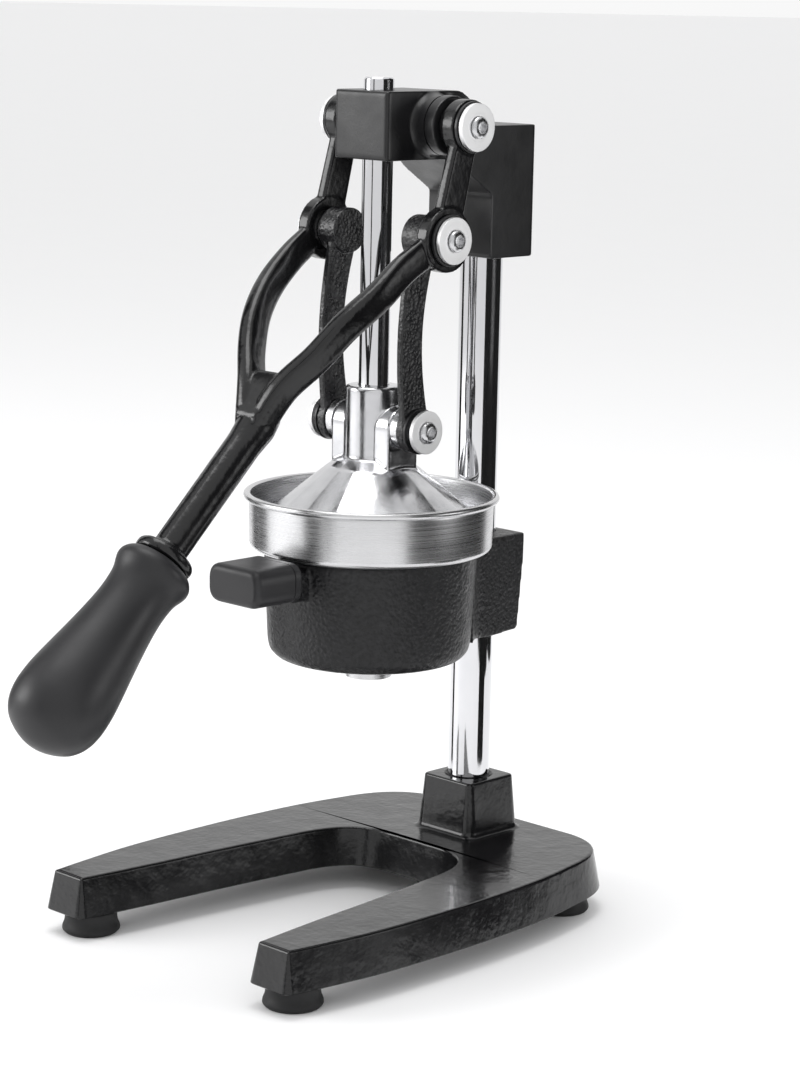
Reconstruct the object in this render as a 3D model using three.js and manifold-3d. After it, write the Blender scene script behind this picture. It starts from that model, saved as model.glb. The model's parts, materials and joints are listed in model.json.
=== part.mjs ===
// Hand operated citrus press. Units are millimetres, +Z is up, the handle side faces -Y.
// Every solid below is one separate piece of the real object.
import * as THREE from 'three';
import { mergeVertices } from 'three/addons/utils/BufferGeometryUtils.js';
import Module from 'manifold-3d';

const wasm = await Module();
wasm.setup();

// ---------------------------------------------------------------- driving dimensions
const CENTRE_Y = 54.1;          // moves the whole part so that the origin is under its middle
const GAP = 0.3;                // clearance between pieces that touch

const RAM_R = 7.25;             // press rod, stands on the Z axis
const COLUMN_R = 10.5;
const COLUMN_Y = 73.8;          // column axis behind the press rod
const RAM_TOP = 409.5;

const FOOT_TOP = 11.1;
const BASE_BOTTOM = 11.4;
const BASE_TOP = 30.8;
const PEDESTAL_TOP = 58.6;

const HEAD_BOTTOM = 371.2;      // front block
const HEAD_TOP = 403.4;
const HEAD_FRONT = -12;
const HEAD_HALF = 17.6;
const CLAMP_HALF = 21;          // half width of both blocks that grip the column
const CLAMP_BACK = 88.2;
const CLAMP_FRONT = 57.5;
const CLAMP_BOTTOM = 322.6;
const CLAMP_TOP = 386.7;

const CUP_BOTTOM = 131.2;
const CUP_TOP = 184.6;

const TOP_PIVOT = [18.4, 387.7];     // Y and Z of the three pivot axes, handle down
const ELBOW = [4.7, 335.8];
const LOWER_PIVOT = [1.2, 244.9];
const BORE_R = 4.3;
const SCREW_R = 4;

const SHAFT_START = [-84.8, 242.6];  // Y and Z of a point on the handle axis
const SHAFT_ANGLE = 44.27 * Math.PI / 180;
const SHAFT_R = 8.4;
const TANG_R = 6.5;

const BOX = 600;                // cutting block, larger than the part

// ---------------------------------------------------------------- materials
const PAINT = { color: 0x101012, roughness: 0.22, metalness: 0.0 };
const HAMMERED = { color: 0x161618, roughness: 0.45, metalness: 0.0 };
const RUBBER = { color: 0x1b1b1d, roughness: 0.7, metalness: 0.0 };
const SOFT_GRIP = { color: 0x26262a, roughness: 0.55, metalness: 0.0 };
const CHROME = { color: 0xd9dbde, roughness: 0.08, metalness: 1.0 };
const BRUSHED = { color: 0xc4c5c8, roughness: 0.3, metalness: 1.0 };
const ALUMINIUM = { color: 0xcfd0d2, roughness: 0.22, metalness: 1.0 };
const BLACK_STEEL = { color: 0x1c1c1e, roughness: 0.35, metalness: 0.6 };
const ZINC = { color: 0xb9babd, roughness: 0.3, metalness: 1.0 };

const part = new THREE.Group();
part.name = 'citrus_press';
part.position.y = CENTRE_Y;

function place(name, geometry, look) {
  const mesh = new THREE.Mesh(geometry, new THREE.MeshStandardMaterial(look));
  mesh.name = name;
  part.add(mesh);
}

// ---------------------------------------------------------------- solid helpers
function solid(geometry) {
  const bare = geometry.index ? geometry.toNonIndexed() : geometry.clone();
  bare.deleteAttribute('normal');
  bare.deleteAttribute('uv');
  const welded = mergeVertices(bare, 1e-4);
  return new wasm.Manifold(new wasm.Mesh({
    numProp: 3,
    vertProperties: Float32Array.from(welded.attributes.position.array),
    triVerts: Uint32Array.from(welded.index.array),
  }));
}

function surface(body) {
  const mesh = body.getMesh();
  const geometry = new THREE.BufferGeometry();
  geometry.setAttribute('position', new THREE.BufferAttribute(mesh.vertProperties, 3));
  geometry.setIndex(new THREE.BufferAttribute(mesh.triVerts, 1));
  const flat = geometry.toNonIndexed();
  flat.computeVertexNormals();
  return flat;
}

function joined(...bodies) {
  return bodies.reduce((sum, body) => sum.add(body));
}

function slabAbove(z) {
  return solid(new THREE.BoxGeometry(BOX, BOX, BOX).translate(0, 0, z + BOX / 2));
}

function block(x0, x1, y0, y1, z0, z1) {
  const box = new THREE.BoxGeometry(x1 - x0, y1 - y0, z1 - z0);
  return solid(box.translate((x0 + x1) / 2, (y0 + y1) / 2, (z0 + z1) / 2));
}

// Profile points are [radius, height], in either direction. The turned body stands on the Z axis.
function turned(profile, segments) {
  const points = profile.map(([r, h]) => new THREE.Vector2(r, h));
  if (THREE.ShapeUtils.area(points) < 0) points.reverse();
  return new THREE.LatheGeometry(points, segments).rotateX(Math.PI / 2);
}

// A turned body laid along X, centred on a pivot. Profile points are [radius, x].
function turnedX(profile, segments, pivot, side) {
  const geometry = turned(profile, segments).rotateY(Math.PI / 2);
  geometry.translate(0, pivot[0], pivot[1]);
  return side > 0 ? geometry : geometry.clone().applyMatrix4(halfTurn(pivot));
}

// Half a turn about the vertical line through a pivot, used for the left hand pieces.
function halfTurn(pivot) {
  const matrix = new THREE.Matrix4().makeRotationZ(Math.PI);
  matrix.setPosition(0, 2 * pivot[0], 0);
  return matrix;
}

function ring(inner, outer, x0, x1) {
  return [[inner, x0], [outer, x0], [outer, x1], [inner, x1], [inner, x0]];
}

function rod(radius, x0, x1) {
  return [[0, x0], [radius, x0], [radius, x1], [0, x1]];
}

// Shape coordinates are Y and Z of the part. The body runs from x0 to x1.
const YZ_TO_X = new THREE.Matrix4().makeBasis(
  new THREE.Vector3(0, 1, 0), new THREE.Vector3(0, 0, 1), new THREE.Vector3(1, 0, 0));

function extrudeX(shape, x0, x1, bevel, curveSegments = 12) {
  const geometry = new THREE.ExtrudeGeometry(shape, {
    depth: x1 - x0 - 2 * bevel,
    bevelEnabled: bevel > 0,
    bevelThickness: bevel,
    bevelSize: bevel,
    bevelOffset: -bevel,
    bevelSegments: 1,
    curveSegments,
  });
  return geometry.translate(0, 0, x0 + bevel).applyMatrix4(YZ_TO_X);
}

function extrudeZ(shape, z0, z1, curveSegments = 12) {
  const geometry = new THREE.ExtrudeGeometry(shape, {
    depth: z1 - z0,
    bevelEnabled: false,
    curveSegments,
  });
  return geometry.translate(0, 0, z0);
}

// A cast slab whose walls lean out towards its lower face, with a rounded upper edge.
function draftedSlab(shape, z0, z1, draft, round, curveSegments) {
  const walls = new THREE.ExtrudeGeometry(shape, {
    depth: 0.01,
    bevelThickness: z1 - z0 - round,
    bevelSize: draft,
    bevelSegments: 1,
    curveSegments,
  });
  const crown = new THREE.ExtrudeGeometry(shape, {
    depth: 0.01,
    bevelThickness: round,
    bevelSize: round,
    bevelOffset: -round,
    bevelSegments: 2,
    curveSegments,
  });
  const lower = solid(walls.translate(0, 0, z0)).intersect(slabAbove(z0));
  const upper = solid(crown.translate(0, 0, z1 - round - 0.01)).intersect(slabAbove(z1 - round - 0.005));
  return lower.add(upper);
}

function roundedShape(points, radius) {
  const shape = new THREE.Shape();
  const count = points.length;
  points.forEach((point, i) => {
    const before = new THREE.Vector2(...points[(i + count - 1) % count]);
    const corner = new THREE.Vector2(...point);
    const after = new THREE.Vector2(...points[(i + 1) % count]);
    const start = before.sub(corner).setLength(radius).add(corner);
    const end = after.sub(corner).setLength(radius).add(corner);
    if (i === 0) shape.moveTo(start.x, start.y);
    else shape.lineTo(start.x, start.y);
    shape.quadraticCurveTo(corner.x, corner.y, end.x, end.y);
  });
  shape.closePath();
  return shape;
}

// Z axis of a lathe turned onto the handle axis, origin at SHAFT_START.
const ALONG_SHAFT = new THREE.Matrix4().makeRotationX(Math.PI / 2 + SHAFT_ANGLE);
ALONG_SHAFT.setPosition(0, SHAFT_START[0], SHAFT_START[1]);

function alongShaft(profile, segments) {
  return turned(profile, segments).applyMatrix4(ALONG_SHAFT);
}

// ---------------------------------------------------------------- base
const LEG_TIP_Y = -129.6;
const LEG_DRAFT = 3.6;
const FOOT_SPOTS = {
  front_right: [70.8, -115.8],
  front_left: [-70.8, -115.8],
  rear_right: [61, 78],
  rear_left: [-61, 78],
};
const FOOT_BORE_R = 2.6;
const BOLT_HOLE_R = 5.3;
const BOLT_RECESS_R = 14;
const BOLT_RECESS_TOP = 19;
const SOCKET_FLOOR = 26;

function baseOutline() {
  const outer = [[85.2, -108], [88.6, -80], [89.8, -45], [89.4, -5], [86.5, 35], [81, 66]];
  const inner = [[57.2, -92], [52.8, -46], [47.6, -2]];
  const shape = new THREE.Shape();
  const v = (x, y) => new THREE.Vector2(x, y);
  shape.moveTo(63.5, LEG_TIP_Y);
  shape.lineTo(80.5, LEG_TIP_Y);
  shape.quadraticCurveTo(81.8, LEG_TIP_Y, 82.2, -127.2);
  shape.splineThru(outer.map(([x, y]) => v(x, y)));
  shape.bezierCurveTo(77, 86, 68, 101, 46, 103);
  shape.lineTo(-46, 103);
  shape.bezierCurveTo(-68, 101, -77, 86, -81, 66);
  shape.splineThru(outer.slice(0, -1).reverse().map(([x, y]) => v(-x, y)).concat([v(-82.2, -127.2)]));
  shape.quadraticCurveTo(-81.8, LEG_TIP_Y, -80.5, LEG_TIP_Y);
  shape.lineTo(-63.5, LEG_TIP_Y);
  shape.quadraticCurveTo(-61.6, LEG_TIP_Y, -61.4, -126.5);
  shape.splineThru(inner.map(([x, y]) => v(-x, y)));
  shape.bezierCurveTo(-44.5, 24, -36, 34, -16, 35);
  shape.lineTo(16, 35);
  shape.bezierCurveTo(36, 34, 44.5, 24, 47.6, -2);
  shape.splineThru(inner.slice(0, -1).reverse().map(([x, y]) => v(x, y)).concat([v(61.4, -126.5)]));
  shape.quadraticCurveTo(61.6, LEG_TIP_Y, 63.5, LEG_TIP_Y);
  return shape;
}

// Hollows under the casting that keep the wall thickness even.
function basePockets() {
  const roof = BASE_TOP - 6.5;
  const leg = [[60.5, -94], [81.5, -94], [83.5, -45], [82.5, 10], [79, 50], [60, 55], [54, 10], [59, -45]];
  const right = solid(extrudeZ(roundedShape(leg, 4), BASE_BOTTOM - 5, roof, 3));
  const left = right.mirror([1, 0, 0]);
  const rear = [[26, 45], [45, 50], [45, 92], [26, 94]];
  const rearRight = solid(extrudeZ(roundedShape(rear, 4), BASE_BOTTOM - 5, roof, 3));
  return joined(right, left, rearRight, rearRight.mirror([1, 0, 0]));
}

const PEDESTAL_HALF = 16.5;
const PEDESTAL_DRAFT = 2.2;
const EDGE_ROUND = 1.4;

function baseCasting() {
  const slab = draftedSlab(baseOutline(), BASE_BOTTOM, BASE_TOP, LEG_DRAFT, EDGE_ROUND, 3);
  const half = PEDESTAL_HALF;
  const square = [[-half, -half], [half, -half], [half, half], [-half, half]];
  const pedestal = draftedSlab(roundedShape(square, 3), BASE_TOP - 3, PEDESTAL_TOP, PEDESTAL_DRAFT,
    EDGE_ROUND, 3);
  const socket = [[0, SOCKET_FLOOR], [COLUMN_R + GAP, SOCKET_FLOOR], [COLUMN_R + GAP, 56.6],
    [COLUMN_R + 2, PEDESTAL_TOP + 0.2], [COLUMN_R + 2, 70], [0, 70]];
  const centreLine = [0, COLUMN_Y, 0];
  let body = slab.add(pedestal.translate(centreLine));
  body = body.subtract(basePockets());
  body = body.subtract(solid(turned(socket, 32)).translate(centreLine));
  body = body.subtract(solid(turned(rod(BOLT_HOLE_R, 0, SOCKET_FLOOR + 2), 20)).translate(centreLine));
  body = body.subtract(solid(turned(rod(BOLT_RECESS_R, 0, BOLT_RECESS_TOP), 28)).translate(centreLine));
  Object.values(FOOT_SPOTS).forEach(([x, y]) => {
    body = body.subtract(solid(turned(rod(FOOT_BORE_R, 0, 23), 12)).translate([x, y, 0]));
  });
  return surface(body);
}

place('base_casting', baseCasting(), PAINT);

// Flared rubber foot with a stepped bore for its screw.
const FOOT_PROFILE = [
  [5.6, 0], [13.2, 0], [14.1, 2.6], [12.9, 5.6], [12.7, FOOT_TOP],
  [FOOT_BORE_R, FOOT_TOP], [FOOT_BORE_R, 4.5], [5.6, 4.5], [5.6, 0],
];
const FOOT_SCREW_PROFILE = [
  [0, 1.9], [3.6, 1.9], [4.8, 2.7], [4.8, 4.2], [2.3, 4.2], [2.3, 21], [0, 22],
];
Object.entries(FOOT_SPOTS).forEach(([spot, [x, y]]) => {
  place(`foot_${spot}`, turned(FOOT_PROFILE, 20).translate(x, y, 0), RUBBER);
  place(`foot_screw_${spot}`, turned(FOOT_SCREW_PROFILE, 12).translate(x, y, 0), ZINC);
});

// ---------------------------------------------------------------- column and its bolt
const COLUMN_BOTTOM = SOCKET_FLOOR + GAP;
const COLUMN_TOP = 380;
const COLUMN_PROFILE = [
  [5.2, COLUMN_BOTTOM], [COLUMN_R - 0.6, COLUMN_BOTTOM], [COLUMN_R, COLUMN_BOTTOM + 0.6],
  [COLUMN_R, COLUMN_TOP - 0.6], [COLUMN_R - 0.6, COLUMN_TOP], [0, COLUMN_TOP],
  [0, 60], [5.2, 60], [5.2, COLUMN_BOTTOM],
];
place('column', turned(COLUMN_PROFILE, 32).translate(0, COLUMN_Y, 0), CHROME);

const WASHER_TOP = BOLT_RECESS_TOP - GAP;
const WASHER_BOTTOM = WASHER_TOP - 1.8;
place('column_washer', turned([
  [BOLT_HOLE_R, WASHER_BOTTOM], [12.5, WASHER_BOTTOM], [12.5, WASHER_TOP],
  [BOLT_HOLE_R, WASHER_TOP], [BOLT_HOLE_R, WASHER_BOTTOM],
], 24).translate(0, COLUMN_Y, 0), ZINC);

function columnBolt() {
  const headTop = WASHER_BOTTOM - GAP;
  const hexagon = new THREE.CylinderGeometry(9, 9, 5, 6).rotateX(Math.PI / 2);
  const head = solid(hexagon.translate(0, 0, headTop - 2.5));
  const shank = solid(turned([[0, headTop - 1], [4.9, headTop - 1], [4.9, 53], [4.2, 54], [0, 54]], 20));
  return surface(head.add(shank)).translate(0, COLUMN_Y, 0);
}

place('column_bolt', columnBolt(), ZINC);

// ---------------------------------------------------------------- head casting
const SET_SCREW_R = 3.9;
const HEAD_SCREW_Z = [339, 369];
const CUP_SCREW_Z = 160;
const BOSS_END = 31.6;

function sideScrewHole(z) {
  const hole = turnedX(rod(SET_SCREW_R + GAP, 5, CLAMP_HALF + 5), 14, [COLUMN_Y, z], -1);
  return solid(hole);
}

// The block's front part narrows ahead of its shoulders.
const SHOULDER = { front: 30, back: 39 };
const GUSSET_TOP = 353.6;
const SLOPE_START = 35.5;

function headCasting() {
  const side = [
    [HEAD_FRONT, HEAD_BOTTOM], [SHOULDER.front, HEAD_BOTTOM], [CLAMP_FRONT, GUSSET_TOP], [CLAMP_FRONT, CLAMP_BOTTOM],
    [CLAMP_BACK, CLAMP_BOTTOM], [CLAMP_BACK, CLAMP_TOP], [CLAMP_FRONT, CLAMP_TOP],
    [SLOPE_START, HEAD_TOP], [HEAD_FRONT, HEAD_TOP],
  ];
  const plan = [
    [-HEAD_HALF, HEAD_FRONT], [HEAD_HALF, HEAD_FRONT], [HEAD_HALF, SHOULDER.front],
    [CLAMP_HALF, SHOULDER.back], [CLAMP_HALF, CLAMP_BACK], [-CLAMP_HALF, CLAMP_BACK],
    [-CLAMP_HALF, SHOULDER.back], [-HEAD_HALF, SHOULDER.front],
  ];
  const sideBody = solid(extrudeX(roundedShape(side, 1.6), -40, 40, 0, 4));
  let body = sideBody.intersect(solid(extrudeZ(roundedShape(plan, 1.6), 300, 420, 4)));
  const boss = [
    [0, HEAD_HALF - 6], [15, HEAD_HALF - 6], [15, HEAD_HALF + 1], [14.3, HEAD_HALF + 2.4],
    [14, HEAD_HALF + 5], [14, BOSS_END - 0.8], [13.2, BOSS_END], [0, BOSS_END],
  ];
  [1, -1].forEach((sideSign) => {
    body = body.add(solid(turnedX(boss, 28, TOP_PIVOT, sideSign)));
  });
  [1, -1].forEach((sideSign) => {
    body = body.subtract(solid(turnedX(rod(BORE_R, 17.4, 60), 16, TOP_PIVOT, sideSign)));
  });
  body = body.subtract(solid(turned(rod(RAM_R + GAP, 340, 420), 32)));
  body = body.subtract(solid(turned(rod(COLUMN_R + GAP, 300, COLUMN_TOP + GAP), 36)).translate([0, COLUMN_Y, 0]));
  HEAD_SCREW_Z.forEach((z) => {
    body = body.subtract(sideScrewHole(z));
  });
  return surface(body);
}

place('head_casting', headCasting(), PAINT);

function setScrew(z) {
  const inner = COLUMN_R + GAP;
  const profile = [
    [0, inner], [2.6, inner], [SET_SCREW_R, inner + 1.2], [SET_SCREW_R, CLAMP_HALF - 1.2],
    [SET_SCREW_R - 0.5, CLAMP_HALF - 0.7], [2.2, CLAMP_HALF - 0.7], [2, CLAMP_HALF - 4], [0, CLAMP_HALF - 4],
  ];
  return turnedX(profile, 14, [COLUMN_Y, z], -1);
}

place('head_set_screw_lower', setScrew(HEAD_SCREW_Z[0]), BLACK_STEEL);
place('head_set_screw_upper', setScrew(HEAD_SCREW_Z[1]), BLACK_STEEL);
place('cup_set_screw', setScrew(CUP_SCREW_Z), BLACK_STEEL);

// ---------------------------------------------------------------- cup holder
const LUG_HALF = 10;
const TONGUE = { half: 7.5, bottom: 172, top: 182.5, end: -82 };
const GRIP_BACK = -61.8;
const CUP_BACK = 89;

function cupHolder() {
  const cup = [
    [14, CUP_BOTTOM], [40.5, CUP_BOTTOM], [45.2, CUP_BOTTOM + 1.3], [48.4, CUP_BOTTOM + 4.4],
    [49.3, CUP_BOTTOM + 9], [51.6, CUP_TOP - 0.8], [50.9, CUP_TOP], [47.3, CUP_TOP],
    [46.9, CUP_TOP - 26], [39, CUP_BOTTOM + 5], [14, CUP_BOTTOM + 5],
    [14, CUP_BOTTOM],
  ];
  const plan = new THREE.Shape();
  plan.moveTo(-19.5, CUP_BACK);
  plan.lineTo(19.5, CUP_BACK);
  plan.quadraticCurveTo(CLAMP_HALF, CUP_BACK, CLAMP_HALF, CUP_BACK - 1.5);
  plan.lineTo(CLAMP_HALF, 60);
  plan.quadraticCurveTo(CLAMP_HALF + 0.5, 50, 33, 39.2);
  plan.lineTo(20, 44);
  plan.lineTo(-20, 44);
  plan.lineTo(-33, 39.2);
  plan.quadraticCurveTo(-CLAMP_HALF - 0.5, 50, -CLAMP_HALF, 60);
  plan.lineTo(-CLAMP_HALF, CUP_BACK - 1.5);
  plan.quadraticCurveTo(-CLAMP_HALF, CUP_BACK, -19.5, CUP_BACK);
  const side = [[30, 137], [64, 134.5], [84.4, 136], [CUP_BACK, CUP_TOP], [30, CUP_TOP]];
  const clamp = solid(extrudeZ(plan, 100, 200, 6)).intersect(solid(extrudeX(roundedShape(side, 1.6), -40, 40, 0, 4)));
  const inside = solid(turned(rod(46.8, CUP_BOTTOM + 12, 220), 44));
  const lug = block(-LUG_HALF, LUG_HALF, GRIP_BACK + GAP, -46.6, 166.8, 181.8);
  const tongue = block(-TONGUE.half, TONGUE.half, TONGUE.end, -55, TONGUE.bottom, TONGUE.top - 2);
  let body = solid(turned(cup, 44)).add(clamp.subtract(inside));
  body = joined(body, lug.subtract(inside), tongue);
  const bore = solid(turned(rod(COLUMN_R + GAP, 100, 220), 36)).translate([0, COLUMN_Y, 0]);
  body = body.subtract(bore).subtract(sideScrewHole(CUP_SCREW_Z));
  return surface(body);
}

place('cup_holder', cupHolder(), HAMMERED);

function holderGrip() {
  const halfWidth = 17.5;
  const bottom = 168.4;
  const top = 187;
  const round = 3;
  const section = [[-halfWidth, bottom], [halfWidth, bottom], [halfWidth, top], [-halfWidth, top]];
  const geometry = new THREE.ExtrudeGeometry(roundedShape(section, 7), {
    depth: 22.7,
    bevelThickness: round,
    bevelSize: round,
    bevelOffset: -round,
    bevelSegments: 3,
    curveSegments: 5,
  });
  geometry.rotateX(Math.PI / 2).translate(0, GRIP_BACK - round, 0);
  const pocket = block(-TONGUE.half - GAP, TONGUE.half + GAP, TONGUE.end - GAP, -50,
    TONGUE.bottom - GAP, TONGUE.top - 2 + GAP);
  return surface(solid(geometry).subtract(pocket));
}

place('holder_grip', holderGrip(), SOFT_GRIP);

// ---------------------------------------------------------------- juice bowl and strainer
const RIM_Z = 211.4;
const BOWL_PROFILE = [
  [10.2, 121.6], [11.2, 121.6], [11.2, 137], [14, 140.6], [39, 148.5], [44.6, 154.5], [46, CUP_TOP + 0.1],
  [56.6, CUP_TOP + 0.5], [58.6, CUP_TOP + 2.3], [59, 208], [61.2, 209.2],
  [61.7, 210.8], [60.6, RIM_Z + 0.9], [58, 208.6],
  [57.7, CUP_TOP + 3], [56, CUP_TOP + 1.5], [45, CUP_TOP + 1.1], [43.6, 155.2], [38.4, 149.6],
  [13.2, 141.5], [10.2, 137.4], [10.2, 121.6],
];
place('juice_bowl', turned(BOWL_PROFILE, 44), BRUSHED);

const FLANGE_Z = CUP_TOP + 1.9;
const STRAINER_PROFILE = [
  [0, 216.8], [8, 215.6], [20, 209.6], [31, 200.5], [44, FLANGE_Z + 0.9],
  [54.6, FLANGE_Z + 0.9], [54.6, FLANGE_Z], [43.3, FLANGE_Z], [30.4, 199.7],
  [19.5, 208.7], [7.8, 214.6], [0, 215.8],
];
place('strainer_cone', turned(STRAINER_PROFILE, 32), BRUSHED);

// ---------------------------------------------------------------- ram: rod and press bell
const ROD_BOTTOM = 236;
place('ram_rod', turned([
  [0, ROD_BOTTOM], [RAM_R, ROD_BOTTOM], [RAM_R, RAM_TOP - 0.8], [RAM_R - 0.8, RAM_TOP], [0, RAM_TOP],
], 36), CHROME);

const EAR_R = 10;
const EAR_FACE = 19.4;
const EAR_BOTTOM = 224;         // inside the wall of the bell
const HUB_TOP = 264.2;

function pressBell() {
  const bell = [
    [0, 223.4], [12, 222.4], [22, 217.6], [42, 201], [51.4, 189.6],
    [54.2, 189.6], [54.8, 191.4], [52.2, 198], [45.8, 205.6], [33, 216.2], [22, 225], [13.3, 229.4],
    [13.3, HUB_TOP - 0.8], [12.5, HUB_TOP], [0, HUB_TOP],
  ];
  const ear = new THREE.Shape();
  ear.absarc(LOWER_PIVOT[0], LOWER_PIVOT[1], EAR_R, 0, Math.PI, false);
  ear.lineTo(LOWER_PIVOT[0] - EAR_R, EAR_BOTTOM);
  ear.lineTo(LOWER_PIVOT[0] + EAR_R, EAR_BOTTOM);
  ear.closePath();
  let body = solid(turned(bell, 44)).add(solid(extrudeX(ear, -EAR_FACE, EAR_FACE, 0.8, 10)));
  body = body.subtract(solid(turned(rod(RAM_R + GAP, ROD_BOTTOM - GAP, 300), 32)));
  [1, -1].forEach((side) => {
    body = body.subtract(solid(turnedX(rod(BORE_R, 10.6, 40), 16, LOWER_PIVOT, side)));
  });
  return surface(body);
}

place('press_bell', pressBell(), ALUMINIUM);

// ---------------------------------------------------------------- lever
function hull(a, ra, b, rb) {
  const direction = Math.atan2(b[1] - a[1], b[0] - a[0]);
  const lean = Math.acos((ra - rb) / Math.hypot(b[0] - a[0], b[1] - a[1]));
  const shape = new THREE.Shape();
  shape.absarc(a[0], a[1], ra, direction + lean, direction - lean + 2 * Math.PI, false);
  shape.absarc(b[0], b[1], rb, direction - lean, direction + lean, false);
  shape.closePath();
  return shape;
}

const ELBOW_RING = [36, 42.9];
const SPOT_FACE_R = 12.6;
const TOP_EYE = [35, 42.6];
const CRANK = { elbowHalf: 8.2, topHalf: 7, from: 36.4, to: 42.2, bevel: 1.2 };
const FORK_HALF = { across: 5.2, deep: 7.9 };
const FORK_STATIONS = [
  [39.4, -3, 332.4], [37.7, -18.8, 323.5], [36, -34.4, 311], [29.8, -48.8, 297.9],
  [21.7, -59.5, 283.1], [10.6, -69.6, 268.5], [3.4, -77.6, 251],
];
const DRILL = [25, 60];         // X range of the cutters that bore each side of the lever

function crankArm() {
  const outline = hull(ELBOW, CRANK.elbowHalf, TOP_PIVOT, CRANK.topHalf);
  return solid(extrudeX(outline, CRANK.from, CRANK.to, CRANK.bevel, 8));
}

function forkArm() {
  const path = new THREE.CatmullRomCurve3(FORK_STATIONS.map((p) => new THREE.Vector3(...p)));
  const section = new THREE.Shape();
  section.absellipse(0, 0, FORK_HALF.across, FORK_HALF.deep, 0, 2 * Math.PI, false);
  return solid(new THREE.ExtrudeGeometry(section, { steps: 13, curveSegments: 5, extrudePath: path }));
}

function leverSide() {
  const topEye = turnedX([
    [0, BOSS_END + GAP], [11, BOSS_END + GAP], [11, TOP_EYE[0]], [11.8, TOP_EYE[0]], [12.8, TOP_EYE[0] + 1],
    [12.8, TOP_EYE[1] - 1], [11.8, TOP_EYE[1]], [0, TOP_EYE[1]],
  ], 26, TOP_PIVOT, 1);
  const elbowDisc = turnedX([
    [0, ELBOW_RING[0]], [13.8, ELBOW_RING[0]], [15, ELBOW_RING[0] + 1.2], [15, ELBOW_RING[1] - 1.2],
    [13.8, ELBOW_RING[1]], [0, ELBOW_RING[1]],
  ], 28, ELBOW, 1);
  return joined(solid(elbowDisc), solid(topEye), crankArm(), forkArm());
}

function leverCasting() {
  const right = leverSide();
  const shaft = solid(alongShaft([
    [0, -26], [4.5, -25], [8.2, -20], [9.4, -12], [SHAFT_R, -1], [SHAFT_R, 61.9], [11, 63], [13.6, 63.6],
    [14.2, 65], [14.2, 67.6], [13.4, 69], [TANG_R, 69], [TANG_R, 140], [0, 140],
  ], 24));
  let body = joined(right, right.mirror([1, 0, 0]), shaft);
  [1, -1].forEach((side) => {
    body = body.subtract(solid(turnedX(rod(BORE_R, ...DRILL), 16, TOP_PIVOT, side)));
    body = body.subtract(solid(turnedX(rod(BORE_R, ...DRILL), 16, ELBOW, side)));
    body = body.subtract(solid(turnedX(rod(SPOT_FACE_R, DRILL[0], ELBOW_RING[0]), 24, ELBOW, side)));
    body = body.subtract(solid(turnedX(rod(SPOT_FACE_R, ELBOW_RING[1], DRILL[1]), 24, ELBOW, side)));
  });
  return surface(body);
}

place('lever_casting', leverCasting(), PAINT);

const GRIP_PROFILE = [
  [TANG_R + GAP, 69.3], [12.8, 69.3], [16.4, 71.2], [18.4, 74], [18.7, 76.4], [17.6, 79.6], [16.5, 83.5],
  [16, 91], [17.3, 107], [21, 131], [22.8, 147], [21.8, 156.4],
  [18.4, 163.6], [11, 169.6], [0, 172], [0, 141], [TANG_R + GAP, 141], [TANG_R + GAP, 69.3],
];
place('lever_grip', alongShaft(GRIP_PROFILE, 26), SOFT_GRIP);

// ---------------------------------------------------------------- links
const LINK_EYE_R = 10.6;
const LINK_BOSS_R = 10.9;
const LINK_BOW = 6;
const LINK_HALF = 7;
const LINK_PLATE = [24.6, 28.4];
const LINK_EYE = [24.3, 29];
const LINK_BOSS = [22.2, 33.2];

function linkOutline() {
  const shape = new THREE.Shape();
  const steps = 9;
  const front = [];
  const back = [];
  for (let i = 0; i <= steps; i += 1) {
    const t = i / steps;
    const y = LOWER_PIVOT[0] + (ELBOW[0] - LOWER_PIVOT[0]) * t - LINK_BOW * Math.sin(Math.PI * t);
    const z = LOWER_PIVOT[1] + (ELBOW[1] - LOWER_PIVOT[1]) * t;
    const half = LINK_HALF + 1.8 * (2 * t - 1) ** 2;
    front.push([y - half, z]);
    back.push([y + half, z]);
  }
  shape.moveTo(...front[0]);
  back.concat(front.reverse()).forEach(([y, z]) => shape.lineTo(y, z));
  return shape;
}

function link(side) {
  const plate = solid(extrudeX(linkOutline(), ...LINK_PLATE, 0.8, 4));
  const eye = solid(turnedX(rodBevelled(LINK_EYE_R, ...LINK_EYE, 0.9), 24, LOWER_PIVOT, 1));
  const boss = solid(turnedX(rodBevelled(LINK_BOSS_R, ...LINK_BOSS, 0.9), 24, ELBOW, 1));
  let body = joined(plate, eye, boss);
  body = body.subtract(solid(turnedX(rod(BORE_R, 20, 40), 16, LOWER_PIVOT, 1)));
  return surface(side > 0 ? body : body.mirror([1, 0, 0]));
}

function rodBevelled(radius, x0, x1, bevel) {
  return [
    [0, x0], [radius - bevel, x0], [radius, x0 + bevel], [radius, x1 - bevel], [radius - bevel, x1], [0, x1],
  ];
}

// ---------------------------------------------------------------- pivot hardware
// Button head screw whose shank runs from shankEnd out to the head at headFace.
function pivotScrew(shankEnd, headFace, pivot, side) {
  const profile = [
    [0, shankEnd], [SCREW_R, shankEnd], [SCREW_R, headFace], [5.3, headFace], [5.3, headFace + 0.7],
    [3.6, headFace + 2.6], [2.2, headFace + 2.7], [2.2, headFace + 1], [0, headFace + 1],
  ];
  return turnedX(profile, 16, pivot, side);
}

const SIDES = { right: 1, left: -1 };

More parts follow.
